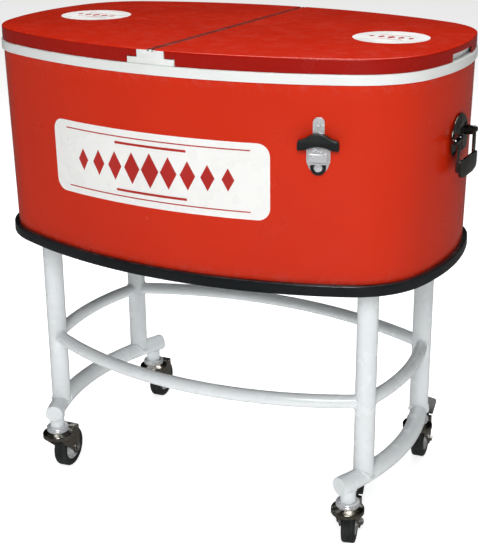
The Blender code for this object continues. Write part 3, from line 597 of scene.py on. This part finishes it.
# %% Stepped bar
bar_copy = bmesh.new()
bar_copy.from_mesh(nodes["centre_bar"].data)
bmesh.ops.remove_doubles(bar_copy, verts=bar_copy.verts, dist=2e-6)
bmesh.ops.dissolve_limit(bar_copy, angle_limit=radians(0.5), verts=bar_copy.verts,
                         edges=bar_copy.edges)
keep(ease(bar_copy, 0.0006), "stepped_bar", *WHITE_TRIM, ["centre_bar"])

# %% Finishes on the solids that stay
STAYING = {"inner_liner": LINER_WHITE, "insulation_foam": FOAM, "base_plate": BASE_BLACK,
           "drain_fitting": LINER_WHITE, "drain_plug": MOULDED_BLACK}
# The barrels take the dark red of painted seam shade.
for label in ("left_lid", "right_lid"):
    STAYING.update({label + "_panel": LINER_WHITE, label + "_barrel": BARREL_PAINTED_SHADE_RED,
                    label + "_pin": ZINC})
for node, look in STAYING.items():
    for place_slot in nodes[node].material_slots:
        place_slot.material = look
print("finished solids:", len(STAYING))

# %% [markdown]
# The front label and the two round badges are printed vinyl. They are flat shapes, cut into
# strips and wrapped on the wall, with plain lines and lozenges for the print.

# %% Wrap a flat print on the front wall
front_hub_y = FRONT_RADIUS - HALF_DEPTH


def wrap_on_front(bm, lift):
    """Bends a flat mesh in XY (Y up, Z thickness) on to the front wall."""
    reach = max(abs(vert.co.x) for vert in bm.verts)
    cuts = int(reach / 0.008)
    for i in range(-cuts, cuts + 1):
        slice_at(bm, (i * 0.008, 0, 0), (1, 0, 0))
    for vert in bm.verts:
        angle = vert.co.x / FRONT_RADIUS
        radius = FRONT_RADIUS + lean(vert.co.y) + lift + vert.co.z
        vert.co = Vector((radius * sin(angle), front_hub_y - radius * cos(angle), vert.co.y))
    return bm


LABEL_X, LABEL_Z, LABEL_HALF_W, LABEL_HALF_H = -0.010, 0.659, 0.203, 0.061


def lozenge(x, z, half_w, half_h, thickness=0.00012):
    """A printed diamond about a point."""
    return stamped([(x - half_w, z, 0.0), (x, z - half_h, 0.0), (x + half_w, z, 0.0),
                    (x, z + half_h, 0.0)], thickness, 0.0)


def strip(x, z, half_w, half_h, radius=0.0, thickness=0.00012, edge=0.0):
    """A flat rectangle about a point, with rounded corners."""
    return stamped([(x - half_w, z - half_h, radius), (x + half_w, z - half_h, radius),
                    (x + half_w, z + half_h, radius), (x - half_w, z + half_h, radius)],
                   thickness, edge)


# %% Label
label_sheet = strip(LABEL_X, LABEL_Z, LABEL_HALF_W, LABEL_HALF_H, 0.020, 0.00025)
keep(wrap_on_front(label_sheet, 0.0001), "front_label", VINYL, TUB, "trim_plastic")
printed = bmesh.new()
for sign in (-1, 1):
    add(printed, strip(LABEL_X, LABEL_Z + sign * 0.0490, 0.172, 0.0010))
    add(printed, strip(LABEL_X, LABEL_Z + sign * 0.0390, 0.066, 0.0020))
for i in range(-4, 5):
    size = 1.0 - 0.09 * abs(i)
    add(printed, lozenge(LABEL_X + 0.034 * i, LABEL_Z, 0.0165 * size, 0.0290 * size))
keep(wrap_on_front(printed, 0.00036), "front_label_print", INK_RED, TUB, "red_paint")

# %% Lid badges
BADGE_X, BADGE_R = 0.285, 0.0625
for label, side in LIDS:
    disc = bmesh.new()
    bmesh.ops.create_circle(disc, cap_ends=True, radius=BADGE_R, segments=96)
    disc.transform(shift(side * BADGE_X, 0.0, LID_TOP + 0.0001))
    thicken(disc, 0.00012)
    keep(disc, label + "_badge", VINYL, label, "trim_plastic")
    mark = bmesh.new()
    for i in range(-2, 3):
        size = 1.0 - 0.16 * abs(i)
        add(mark, lozenge(0.017 * i, 0.0, 0.0070 * size, 0.0115 * size, 0.00005))
    for sign in (-1, 1):
        add(mark, strip(0.0, sign * 0.0200, 0.026, 0.0011, 0.0, 0.00005))
    mark.transform(shift(side * BADGE_X, 0.0, LID_TOP + 0.00024))
    keep(mark, label + "_badge_print", INK_RED, label, "red_paint")

# %% [markdown]
# The frame is bent steel tube, welded and painted. A tube bent to an arc is a ring of
# vertices spun about the bend's centre; a weld is a small rippled bead that follows the line
# where two tubes meet. The saddle shape of that line comes from the larger tube's radius.

# %% Bent tubes
LEG_X, LEG_Y, LEG_R = 0.3127, 0.136, 0.0175
RAIL_R, RAIL_Z = 0.0115, 0.271
TUBE_R, TUBE_Z, TUBE_END_Y = 0.016, 0.1327, 0.1906
FRONT_BOW, BACK_BOW, END_BOW = 0.081, 0.071, 0.021


def bend(start, end, outward, bow):
    """Centre, radius and half angle of the arc through two points that bows outward."""
    start, end, outward = Vector(start), Vector(end), Vector(outward)
    half = (end - start).length / 2
    radius = (half ** 2 + bow ** 2) / (2 * bow)
    return (start + end) / 2 + outward * (bow - radius), radius, asin(half / radius)


def bent_tube(start, end, outward, bow, radius, overrun=0.0, steps=40, capped=False):
    """A tube along a level arc, run on past its ends."""
    hub, reach, _ = bend(start, end, outward, bow)
    half = (Vector(end) - Vector(start)).length / 2
    sweep = asin((half + overrun) / reach)
    outward, up = Vector(outward), Vector((0, 0, 1))
    bm = bmesh.new()
    ring = bmesh.ops.create_circle(bm, cap_ends=False, radius=radius, segments=28)["verts"]
    frame_axes = Matrix((outward, up, outward.cross(up)))
    bm.transform(frame_axes.transposed().to_4x4())
    bm.transform(Matrix.Translation(hub + outward * reach))
    bmesh.ops.rotate(bm, cent=hub, matrix=Matrix.Rotation(-sweep, 3, "Z"), verts=ring)
    bmesh.ops.spin(bm, geom=bm.verts[:] + bm.edges[:], cent=hub, axis=(0, 0, 1),
                   dvec=(0, 0, 0), angle=2 * sweep, steps=steps, use_merge=False,
                   use_duplicate=False)
    bmesh.ops.holes_fill(bm, edges=[edge for edge in bm.edges if edge.is_boundary], sides=40)
    bmesh.ops.recalc_face_normals(bm, faces=bm.faces)
    if capped:
        caps = [face for face in bm.faces if len(face.verts) > 4]
        bmesh.ops.inset_individual(bm, faces=caps, thickness=0.0024, depth=0.0)
        bmesh.ops.inset_individual(bm, faces=caps, thickness=0.0006, depth=-0.0007)
        ease(bm, 0.0006, 2, 60)
    return bm


# %% Rails and bottom tubes
for name, start, end, outward, bow in (
        ("front_rail", (-LEG_X, -LEG_Y), (LEG_X, -LEG_Y), (0, -1, 0), FRONT_BOW),
        ("back_rail", (-LEG_X, LEG_Y), (LEG_X, LEG_Y), (0, 1, 0), BACK_BOW),
        ("left_rail", (-LEG_X, -LEG_Y), (-LEG_X, LEG_Y), (-1, 0, 0), END_BOW),
        ("right_rail", (LEG_X, -LEG_Y), (LEG_X, LEG_Y), (1, 0, 0), END_BOW)):
    rail = bent_tube((*start, RAIL_Z), (*end, RAIL_Z), outward, bow, RAIL_R)
    keep(rail, name + "_tube", *WHITE_TUBE, [name])
for name, sx in (("left_bottom_tube", -1), ("right_bottom_tube", 1)):
    foot_tube = bent_tube((sx * LEG_X, -LEG_Y, TUBE_Z), (sx * LEG_X, LEG_Y, TUBE_Z),
                          (sx, 0, 0), END_BOW, TUBE_R, TUBE_END_Y - LEG_Y, 30, True)
    keep(foot_tube, name + "_bent", *WHITE_TUBE, [name])


# %% Weld bead
def bead_section(ring, bead):
    """The round section of a bead at a ring's radius, as a closed profile."""
    return [(ring + bead * cos(tau * i / 8), bead * sin(tau * i / 8)) for i in range(8)]


def weld(tube_radius, host_radius, bead=0.0019):
    """A rippled bead round a tube along +X that meets a round host at the origin."""
    ring = tube_radius + bead * 0.35
    bm = turned(bead_section(ring, bead), 72, True)
    for vert in bm.verts:
        angle = atan2(vert.co.y, vert.co.x)
        across = min(abs(ring * sin(angle)), host_radius * 0.999)
        swell = 1.0 + 0.010 * sin(26 * angle) + 0.006 * sin(11 * angle + 1.0)
        vert.co.x *= swell
        vert.co.y *= swell
        vert.co.z += sqrt(host_radius ** 2 - across ** 2)
    return bm


# %% Legs with their flanges, bolts and welds
FLANGE_HALF, FLANGE_T, BOLT_PLACE = 0.024, 0.0030, 0.0190
CORNERS = {"front_left": (-1, -1), "front_right": (1, -1), "rear_left": (-1, 1),
           "rear_right": (1, 1)}
flange_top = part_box("front_left_leg")[1].z
for corner, (sx, sy) in CORNERS.items():
    at = shift(sx * LEG_X, sy * LEG_Y)
    leg = drum(LEG_R, TUBE_Z, flange_top - 0.0025, 48, 0.0)
    leg.transform(at)
    keep(leg, corner + "_leg_tube", *WHITE_TUBE, [corner + "_leg"])
    plate = strip(0.0, 0.0, FLANGE_HALF, FLANGE_HALF, 0.004, FLANGE_T, 0.0005)
    keep(placed(plate, at @ shift(z=flange_top - FLANGE_T)), corner + "_leg_flange",
         *WHITE_TUBE)
    bolts = bmesh.new()
    for bx in (-1, 1):
        for by in (-1, 1):
            head = drum(0.0030, flange_top - 0.0062, flange_top - FLANGE_T, 6, 0.0003)
            add(bolts, head, at @ shift(bx * BOLT_PLACE, by * BOLT_PLACE))
    keep(bolts, corner + "_flange_bolts", ZINC, TUB, "zinc_steel")
    beads = bmesh.new()
    top_ring = turned(bead_section(LEG_R + 0.0008, 0.0018), 60, True)
    add(beads, top_ring, at @ shift(z=flange_top - 0.0034))
    saddle = weld(LEG_R, TUBE_R)
    add(beads, saddle, at @ shift(z=TUBE_Z) @ turn(pi / 2, "Z"))
    for outward, bow in (((0, sy, 0), FRONT_BOW if sy < 0 else BACK_BOW),
                         ((sx, 0, 0), END_BOW)):
        end_point = Vector((sx * LEG_X, sy * LEG_Y, RAIL_Z))
        other = end_point * Vector((1, -1, 1) if outward[0] else (-1, 1, 1))
        _, _, sweep = bend(end_point, other, outward, bow)
        chord = (other - end_point).normalized()
        heading = chord * cos(sweep) + Vector(outward) * sin(sweep)
        aim = heading.to_track_quat("Z", "Y").to_matrix().to_4x4()
        add(beads, weld(RAIL_R, LEG_R), Matrix.Translation(end_point) @ aim
            @ turn(pi / 2, "Z"))
    keep(beads, corner + "_welds", *WHITE_TUBE)

# %% [markdown]
# A swivel caster is a pressed fork under a bearing ring, with a rubber tyre on a steel hub. The
# round parts are turned, the fork's cheeks are stamped plates, and two casters carry a foot
# pedal. All four are built on the same local axes, X back along the trail, and then placed.

# %% Caster sizes
WHEEL_R, TYRE_HALF, HUB_R, TRAIL = 0.038, 0.012, 0.0250, 0.036
SOCKET_BOTTOM, CROWN_Z, CROWN_R = 0.0990, 0.0775, 0.0285
FORK_IN, FORK_OUT, FORK_TOP = 0.0155, 0.0183, 0.0836
PLATED_ABOVE = 0.0905
PEDAL_X, PEDAL_Z, PEDAL_PITCH = 0.046, 0.086, radians(-28)
TRAIL_ANGLES = {"front_left": 97, "front_right": 105, "rear_left": 97, "rear_right": 97}


def caster_place(corner):
    """Stem position from the caster's own joints, heading from the listed trail angles."""
    found = {joint["name"]: joint for joint in frame["joints"]}
    stem = Vector(found[corner + "_swivel_joint"]["pos_m"])
    return shift(stem.x, stem.y) @ turn(radians(TRAIL_ANGLES[corner]), "Z")


# %% Fork and race
def race():
    """The turned stack of rings on the swivel, down to the bell over the wheel."""
    profile = [(0.0, SOCKET_BOTTOM - 0.0003), (0.0180, SOCKET_BOTTOM - 0.0003)]
    profile += round_off((0.0190, SOCKET_BOTTOM - 0.0016), 0.0013, 90, -90, 5)
    profile += [(0.0176, SOCKET_BOTTOM - 0.0032)]
    profile += round_off((0.0192, SOCKET_BOTTOM - 0.0050), 0.0016, 90, -90, 5)
    profile += [(0.0178, SOCKET_BOTTOM - 0.0072), (0.0200, 0.0908)]
    profile += round_off((CROWN_R - 0.0030, 0.0835), 0.0030, 60, 0, 5)
    profile += [(CROWN_R, CROWN_Z), (CROWN_R - 0.0014, CROWN_Z), (0.0, CROWN_Z)]
    return turned(profile, 56)


def cheek():
    """One side of the fork in XY, X back along the trail and Y up."""
    lug = 0.012
    corners = [(-0.014, CROWN_Z + 0.0040, 0.002), (-0.014, CROWN_Z - 0.008, 0.006),
               (TRAIL - lug, WHEEL_R - 0.002, 0.006), (TRAIL - 0.006, WHEEL_R - lug, 0.005),
               (TRAIL + 0.006, WHEEL_R - lug, 0.005), (TRAIL + lug, WHEEL_R - 0.004, 0.005),
               (TRAIL + lug, FORK_TOP, 0.004), (0.022, FORK_TOP, 0.002)]
    return stamped(corners, FORK_OUT - FORK_IN, 0.0007, 3)


def fork():
    """The race, two cheeks, the bridge behind them and two rivets."""
    bm = race()
    for face in bm.faces:
        face.material_index = int(face.calc_center_median().z > PLATED_ABOVE)
    for inner in (-FORK_OUT, FORK_IN):
        stand = shift(0.0, inner + (FORK_OUT - FORK_IN), 0.0) @ turn(pi / 2, "X")
        add(bm, cheek(), stand)
    add(bm, bar((TRAIL - 0.004, -FORK_IN, FORK_TOP - 0.0022),
                (TRAIL + 0.0110, FORK_IN, FORK_TOP - 0.0006), 0.0004))
    for sign in (-1, 1):
        rivet = drum(0.0026, FORK_OUT - 0.0004, FORK_OUT + 0.0008, 20, 0.0005)
        add(bm, rivet, shift(0.040, 0.0, 0.0790) @ turn(-sign * pi / 2, "X"))
    return bm


# %% Axle bolt, wheel and pedal
def axle():
    """A bolt along Z with a washer and a hexagon at each end."""
    bm = drum(0.0040, -FORK_OUT - 0.0055, FORK_OUT + 0.0052, 24)
    for facing in (pi, 0.0):
        add(bm, drum(0.0085, FORK_OUT + 0.0001, FORK_OUT + 0.0010, 32, 0.0002),
            turn(facing, "X"))
        add(bm, drum(0.0066, FORK_OUT + 0.0010, FORK_OUT + 0.0042, 6, 0.0004),
            turn(facing, "X"))
    return bm


def both_sides(side):
    """A wheel's profile: one side, then its mirror image."""
    return side + [(radius, -height) for radius, height in reversed(side)]


def tyre():
    """A turned tread with two grooves."""
    half = TYRE_HALF
    side = [(HUB_R + 0.0003, half - 0.0010), (HUB_R + 0.0018, half)]
    side += [(WHEEL_R - 0.0060, half - 0.0002), (WHEEL_R - 0.0052, half - 0.0006)]
    side += round_off((WHEEL_R - 0.0042, half - 0.0046), 0.0042, 70, 0, 6)
    side += [(WHEEL_R, 0.0030), (WHEEL_R - 0.0007, 0.0026), (WHEEL_R - 0.0007, 0.0018),
             (WHEEL_R, 0.0014)]
    return turned(both_sides(side), 72, True)


def hub():
    """A turned hub with a raised boss on each side."""
    half = TYRE_HALF
    side = [(0.0044, half + 0.0030), (0.0080, half + 0.0030), (0.0088, half + 0.0022),
            (0.0092, half - 0.0030), (0.0120, half - 0.0042), (0.0190, half - 0.0042),
            (0.0205, half - 0.0018), (0.0225, half - 0.0006), (0.0240, half - 0.0010),
            (HUB_R, half - 0.0030)]
    return turned(both_sides(side), 64, True)


def pedal():
    """A moulded foot plate with grip ribs, hinged at the origin, running back and up."""
    bm = stamped([(0.0, -0.0200, 0.002), (0.036, -0.0208, 0.005), (0.0395, 0.0, 0.0),
                  (0.036, 0.0208, 0.005), (0.0, 0.0200, 0.002)], 0.0034, 0.0008, 3)
    bm.transform(shift(z=-0.0017))
    for i in range(5):
        x = 0.014 + 0.0046 * i
        add(bm, bar((x, -0.0150, 0.0014), (x + 0.0018, 0.0150, 0.0018), 0.0002))
    add(bm, bar((0.0060, -0.0130, -0.0085), (0.0300, 0.0130, -0.0012), 0.0010))
    add(bm, drum(0.0026, -0.0125, 0.0125, 24, 0.0002), turn(pi / 2, "X"))
    bm.transform(turn(PEDAL_PITCH, "Y"))
    return bm


# %% Place the casters
for corner in CORNERS:
    at = caster_place(corner)
    on_axle = at @ shift(TRAIL, 0.0, WHEEL_R) @ turn(pi / 2, "X")
    sleeve = drum(0.0135, SOCKET_BOTTOM, TUBE_Z, 40, 0.0004)
    add(sleeve, turned(bead_section(0.0138, 0.0016), 48, True),
        shift(z=TUBE_Z - TUBE_R * 0.72))
    keep(placed(sleeve, at), corner + "_sleeve", *WHITE_TUBE,
         [corner + "_socket"])
    swivel, wheel = corner + "_swivel", corner + "_wheel"
    for bm, matrix, name, look, body, slot, node in (
            (fork(), at, "_pressed_fork", (SMOKED, CHROME), swivel, "smoked_chrome", "_fork"),
            (axle(), on_axle, "_axle_bolt", ZINC, swivel, "zinc_steel", "_axle"),
            (tyre(), on_axle, "_rubber_tyre", TYRE, wheel, "tyre", "_tyre"),
            (hub(), on_axle, "_steel_hub", CHROME, wheel, "bright_chrome", "_hub")):
        keep(placed(bm, matrix), corner + name, look, body, slot, [corner + node])
    if corner + "_brake_pedal" in nodes:
        keep(placed(pedal(), at @ shift(PEDAL_X, 0.0, PEDAL_Z)),
             corner + "_foot_pedal", MOULDED_BLACK, corner + "_brake", "black_plastic",
             [corner + "_brake_pedal"])

# %% [markdown]
# The opener is a plated casting screwed to the shell, with a black hood over its mouth. Its
# outline is stamped, the hooded bar is a thick plate with an arched underside, and the screws
# are turned with a recessed middle.

# %% Opener place
OPENER_X, OPENER_Z = 0.262, 0.7215
opener_angle = asin(OPENER_X / FRONT_RADIUS)
out_way = Vector((sin(opener_angle), -cos(opener_angle), 0.0))
right_way = Vector((cos(opener_angle), sin(opener_angle), 0.0))
wall_axes = Matrix((right_way, Vector((0, 0, 1)), out_way)).transposed().to_4x4()
on_wall = Matrix.Translation(Vector((0.0, front_hub_y, OPENER_Z))
                             + out_way * (FRONT_RADIUS + lean(OPENER_Z) + 0.0004)) @ wall_axes

# %% Opener casting, hood and screws
casting = stamped(mirrored([(-0.00875, 0.0430, 0.0080), (-0.00875, 0.010, 0.0),
                            (-0.0180, 0.004, 0.003), (-0.0182, -0.0240, 0.004),
                            (-0.0130, -0.0380, 0.006), (-0.006, -0.0428, 0.003)]),
                  0.0034, 0.0009, 3)
lip = stamped([(-0.0145, -0.0262, 0.004), (0.0145, -0.0262, 0.004), (0.0140, -0.0225, 0.0),
               (-0.0140, -0.0225, 0.0)], 0.0125, 0.0012, 3)
add(casting, lip, shift(z=0.0025))
catch = stamped([(-0.0145, -0.0255, 0.003), (0.0145, -0.0255, 0.003), (0.0140, -0.0080, 0.004),
                 (0.0060, -0.0105, 0.003), (-0.0060, -0.0105, 0.003), (-0.0140, -0.0080, 0.004)],
                0.0026, 0.0009, 3)
add(casting, catch, shift(z=0.0124))
keep(placed(casting, on_wall), "opener_casting", *PLATED,
     ["opener_plate"])
hood = stamped(mirrored([(0.0, 0.0215, 0.004), (0.0105, 0.0190, 0.005), (0.0190, 0.0125, 0.004),
                         (0.0310, 0.0090, 0.003), (0.0318, -0.0062, 0.003),
                         (0.0200, -0.0055, 0.003), (0.0120, -0.0015, 0.004),
                         (0.0, 0.0005, 0.0)]), 0.0108, 0.0024, 4)
keep(placed(hood, on_wall @ shift(z=0.0034)), "opener_hood", *MOULDED, ["opener_bar"])
# A black disc behind the lower screw: painted shade that stands for the shadow under the
# casting's shelf.
boss = turned([(0.0, 0.0012), (0.0112, 0.0012), (0.0120, 0.0006), (0.0120, -0.0004),
               (0.0, -0.0004)], 40)
keep(placed(boss, on_wall @ shift(0.0, -0.0335, 0.0034)), "opener_lower_shade_disc",
     *MOULDED)
for name, up, size in (("upper", 0.0320, 1.0), ("lower", -0.0335, 1.5)):
    head = [(0.0, 0.0012), (0.0014, 0.0012), (0.0016, 0.0026), (0.0026, 0.0026),
            (0.0040, 0.0016), (0.0045, 0.0002), (0.0045, -0.0004), (0.0, -0.0004)]
    screw = turned([(radius * size, height) for radius, height in head], 32)
    lift = 0.0044 if size > 1 else 0.0034
    keep(placed(screw, on_wall @ shift(0.0, up, lift)), f"opener_{name}_head",
         *PLATED, [f"opener_{name}_screw"])

# %% [markdown]
# Each end has a round pressed plate with two lugs and a drop handle that swings on a bolt.
# The grip is one broad flat bar with rounded lower corners, which catches a single highlight.

# %% Drop handles
HANDLE_Z, PIVOT_OUT, DROP = 0.707, 0.0145, 0.0655
PLATE_BELOW, PLATE_RADIUS = 0.008, 0.041
BOLT_SHORT, BOLT_LONG = 0.047, 0.064
STAND_UP = turn(pi / 2, "Z") @ turn(pi / 2, "X")


def handle_plate():
    """Local axes: X out of the wall, Y along it, Z up."""
    disc = bmesh.new()
    bmesh.ops.create_circle(disc, cap_ends=True, radius=PLATE_RADIUS, segments=64)
    slice_at(disc, (0, -0.022, 0), (0, -1, 0), True)
    thicken(disc, 0.0022)
    ease(disc, 0.0008, 3, 60)
    raised = turned([(0.0, 0.0026), (0.0290, 0.0026), (0.0305, 0.0018), (0.0305, 0.0010),
                     (0.0, 0.0010)], 56)
    slice_at(raised, (0, -0.019, 0), (0, -1, 0), True)
    bmesh.ops.holes_fill(raised, edges=[e for e in raised.edges if e.is_boundary], sides=80)
    add(disc, raised)
    for angle in (35, 145, 90):
        spot = shift(0.0345 * cos(radians(angle)), 0.0345 * sin(radians(angle)), 0.0020)
        add(disc, turned([(0.0, 0.0016), (0.0018, 0.0012), (0.0028, 0.0), (0.0, 0.0)], 20),
            spot)
    disc.transform(shift(0.0018, 0.0, -PLATE_BELOW) @ STAND_UP)
    for sign in (-1, 1):
        lug = stamped([(0.0030, -0.0085, 0.0), (PIVOT_OUT, -0.0072, 0.004),
                       (PIVOT_OUT + 0.0050, -0.0050, 0.004), (PIVOT_OUT + 0.0050, 0.0050, 0.004),
                       (PIVOT_OUT, 0.0072, 0.004), (0.0030, 0.0085, 0.0)], 0.0040, 0.0006, 2)
        low = 0.0310 if sign > 0 else -0.0350
        add(disc, lug, shift(0.0, low + 0.0040, 0.0) @ turn(pi / 2, "X"))
    return disc


def bail(side):
    """The swinging handle: two arms, a broad grip and the pivot bolt's ends."""
    grip = stamped(mirrored([(-0.0430, -DROP + 0.0310, 0.004), (-0.0430, -DROP + 0.0070, 0.006),
                             (-0.0300, -DROP, 0.010)]), 0.0042, 0.0012, 4)
    grip.transform(shift(0.0022, 0.0, 0.0) @ STAND_UP)
    for sign in (-1, 1):
        low, high = sorted((sign * 0.0382, sign * 0.0438))
        add(grip, bar((-0.0026, low, -DROP + 0.012), (0.0028, high, 0.0020), 0.0012, 3))
        end = BOLT_SHORT if sign * side > 0 else BOLT_LONG
        add(grip, drum(0.0054, 0.0382, end - 0.0060, 32, 0.0008), turn(-sign * pi / 2, "X"))
        add(grip, turned([(0.0, end), (0.0030, end - 0.0002), (0.0048, end - 0.0014),
                          (0.0056, end - 0.0040), (0.0056, end - 0.0064), (0.0, end - 0.0064)],
                         32), turn(-sign * pi / 2, "X"))
    return grip


for label, side in (("left", -1), ("right", 1)):
    wall_x = side * (HALF_LENGTH + lean(HANDLE_Z))
    at = shift(wall_x, 0.0, HANDLE_Z) @ turn(0.0 if side > 0 else pi, "Z")
    keep(placed(handle_plate(), at), label + "_pressed_plate", HANDLE_DARK, TUB,
         "smoked_chrome", [label + "_handle_plate"])
    keep(placed(bail(side), at @ shift(PIVOT_OUT)), label + "_drop_grip", HANDLE_DARK,
         label + "_drop_handle", "smoked_chrome", [label + "_bail"])

# %% [markdown]
# The set is a pale floor under a soft sky that is brighter at the front and above, with a key
# light at the front right, a wide one on top and a weak fill. The floor glows for the camera
# only in part: reflections and bounced light see it darker, so that the enamel's two ends
# fall into deep red, as glossy paint does beside a dark room.

# %% Floor
FLOOR_GLOW, FLOOR_REFLECTED, DIMMED_BOUNCE = 0.76, (0.11, 0.107, 0.103), 0.25
floor_mesh = bpy.data.meshes.new("floor")
ground = bmesh.new()
bmesh.ops.create_grid(ground, x_segments=1, y_segments=1, size=40.0)
ground.to_mesh(floor_mesh)
ground.free()
floor = into_scene("floor", floor_mesh)
paper = bpy.data.materials.new("pale_floor")
paper.use_nodes = True
paper_tree = paper.node_tree
white = paper_tree.nodes["Principled BSDF"]
white.inputs["Base Color"].default_value = (0.93, 0.93, 0.93, 1)
white.inputs["Roughness"].default_value = 0.9
white.inputs["Emission Color"].default_value = (1, 1, 1, 1)
white.inputs["Emission Strength"].default_value = FLOOR_GLOW
dim = paper_tree.nodes.new("ShaderNodeEmission")
dim.inputs["Color"].default_value = (*FLOOR_REFLECTED, 1)
choose = paper_tree.nodes.new("ShaderNodeMixShader")
path = paper_tree.nodes.new("ShaderNodeLightPath")
bounced = math_node(paper_tree, "MULTIPLY", path.outputs["Is Diffuse Ray"], DIMMED_BOUNCE)
share = math_node(paper_tree, "MAXIMUM", path.outputs["Is Glossy Ray"], bounced)
paper_tree.links.new(share, choose.inputs[0])
paper_tree.links.new(white.outputs[0], choose.inputs[1])
paper_tree.links.new(dim.outputs[0], choose.inputs[2])
paper_tree.links.new(choose.outputs[0], paper_tree.nodes["Material Output"].inputs["Surface"])
floor_mesh.materials.append(paper)

# %% Sky
world = bpy.data.worlds.new("studio")
bpy.context.scene.world = world
world.use_nodes = True
sky = world.node_tree
facing = sky.nodes.new("ShaderNodeVectorMath")
facing.operation = "DOT_PRODUCT"
facing.inputs[1].default_value = Vector((0.20, -0.70, 0.68)).normalized()
sky.links.new(sky.nodes.new("ShaderNodeTexCoord").outputs["Generated"], facing.inputs[0])
ramp = sky.nodes.new("ShaderNodeMapRange")
for label, value in (("To Min", 0.06), ("To Max", 1.00)):
    ramp.inputs[label].default_value = value
sky.links.new(facing.outputs["Value"], ramp.inputs["Value"])
sky.links.new(ramp.outputs["Result"], sky.nodes["Background"].inputs["Strength"])


# %% Lights
def softbox(name, place, target, width, height, power):
    """A rectangular area light aimed at a point."""
    data = bpy.data.lights.new(name, "AREA")
    data.shape, data.size, data.size_y, data.energy = "RECTANGLE", width, height, power
    lamp = into_scene(name, data)
    lamp.location = place
    aim = Vector(target) - Vector(place)
    lamp.rotation_euler = aim.to_track_quat("-Z", "Y").to_euler()


softbox("key", (1.0, -2.05, 1.85), (0.12, 0.0, 0.45), 0.9, 0.9, 34.0)
softbox("top", (0.0, 0.5, 3.4), (0.0, 0.0, 0.8), 2.4, 2.4, 92.0)
softbox("fill", (-3.0, -2.2, 1.4), (0.0, 0.0, 0.3), 1.4, 1.4, 1.2)

# %% Camera
camera_data = bpy.data.cameras.new("camera")
camera = into_scene("camera", camera_data)
camera.location = (0.9652, -1.7795, 1.1497)
camera.rotation_euler = (radians(90 - 19.2375), 0.0, radians(26.715))
camera_data.sensor_width, camera_data.lens = 36.0, 78.007
camera_data.shift_x, camera_data.shift_y = -0.0597, -0.0375
camera_data.clip_start, camera_data.clip_end = 0.05, 100.0
bpy.context.scene.camera = camera
bpy.context.scene.view_settings.view_transform = "Standard"
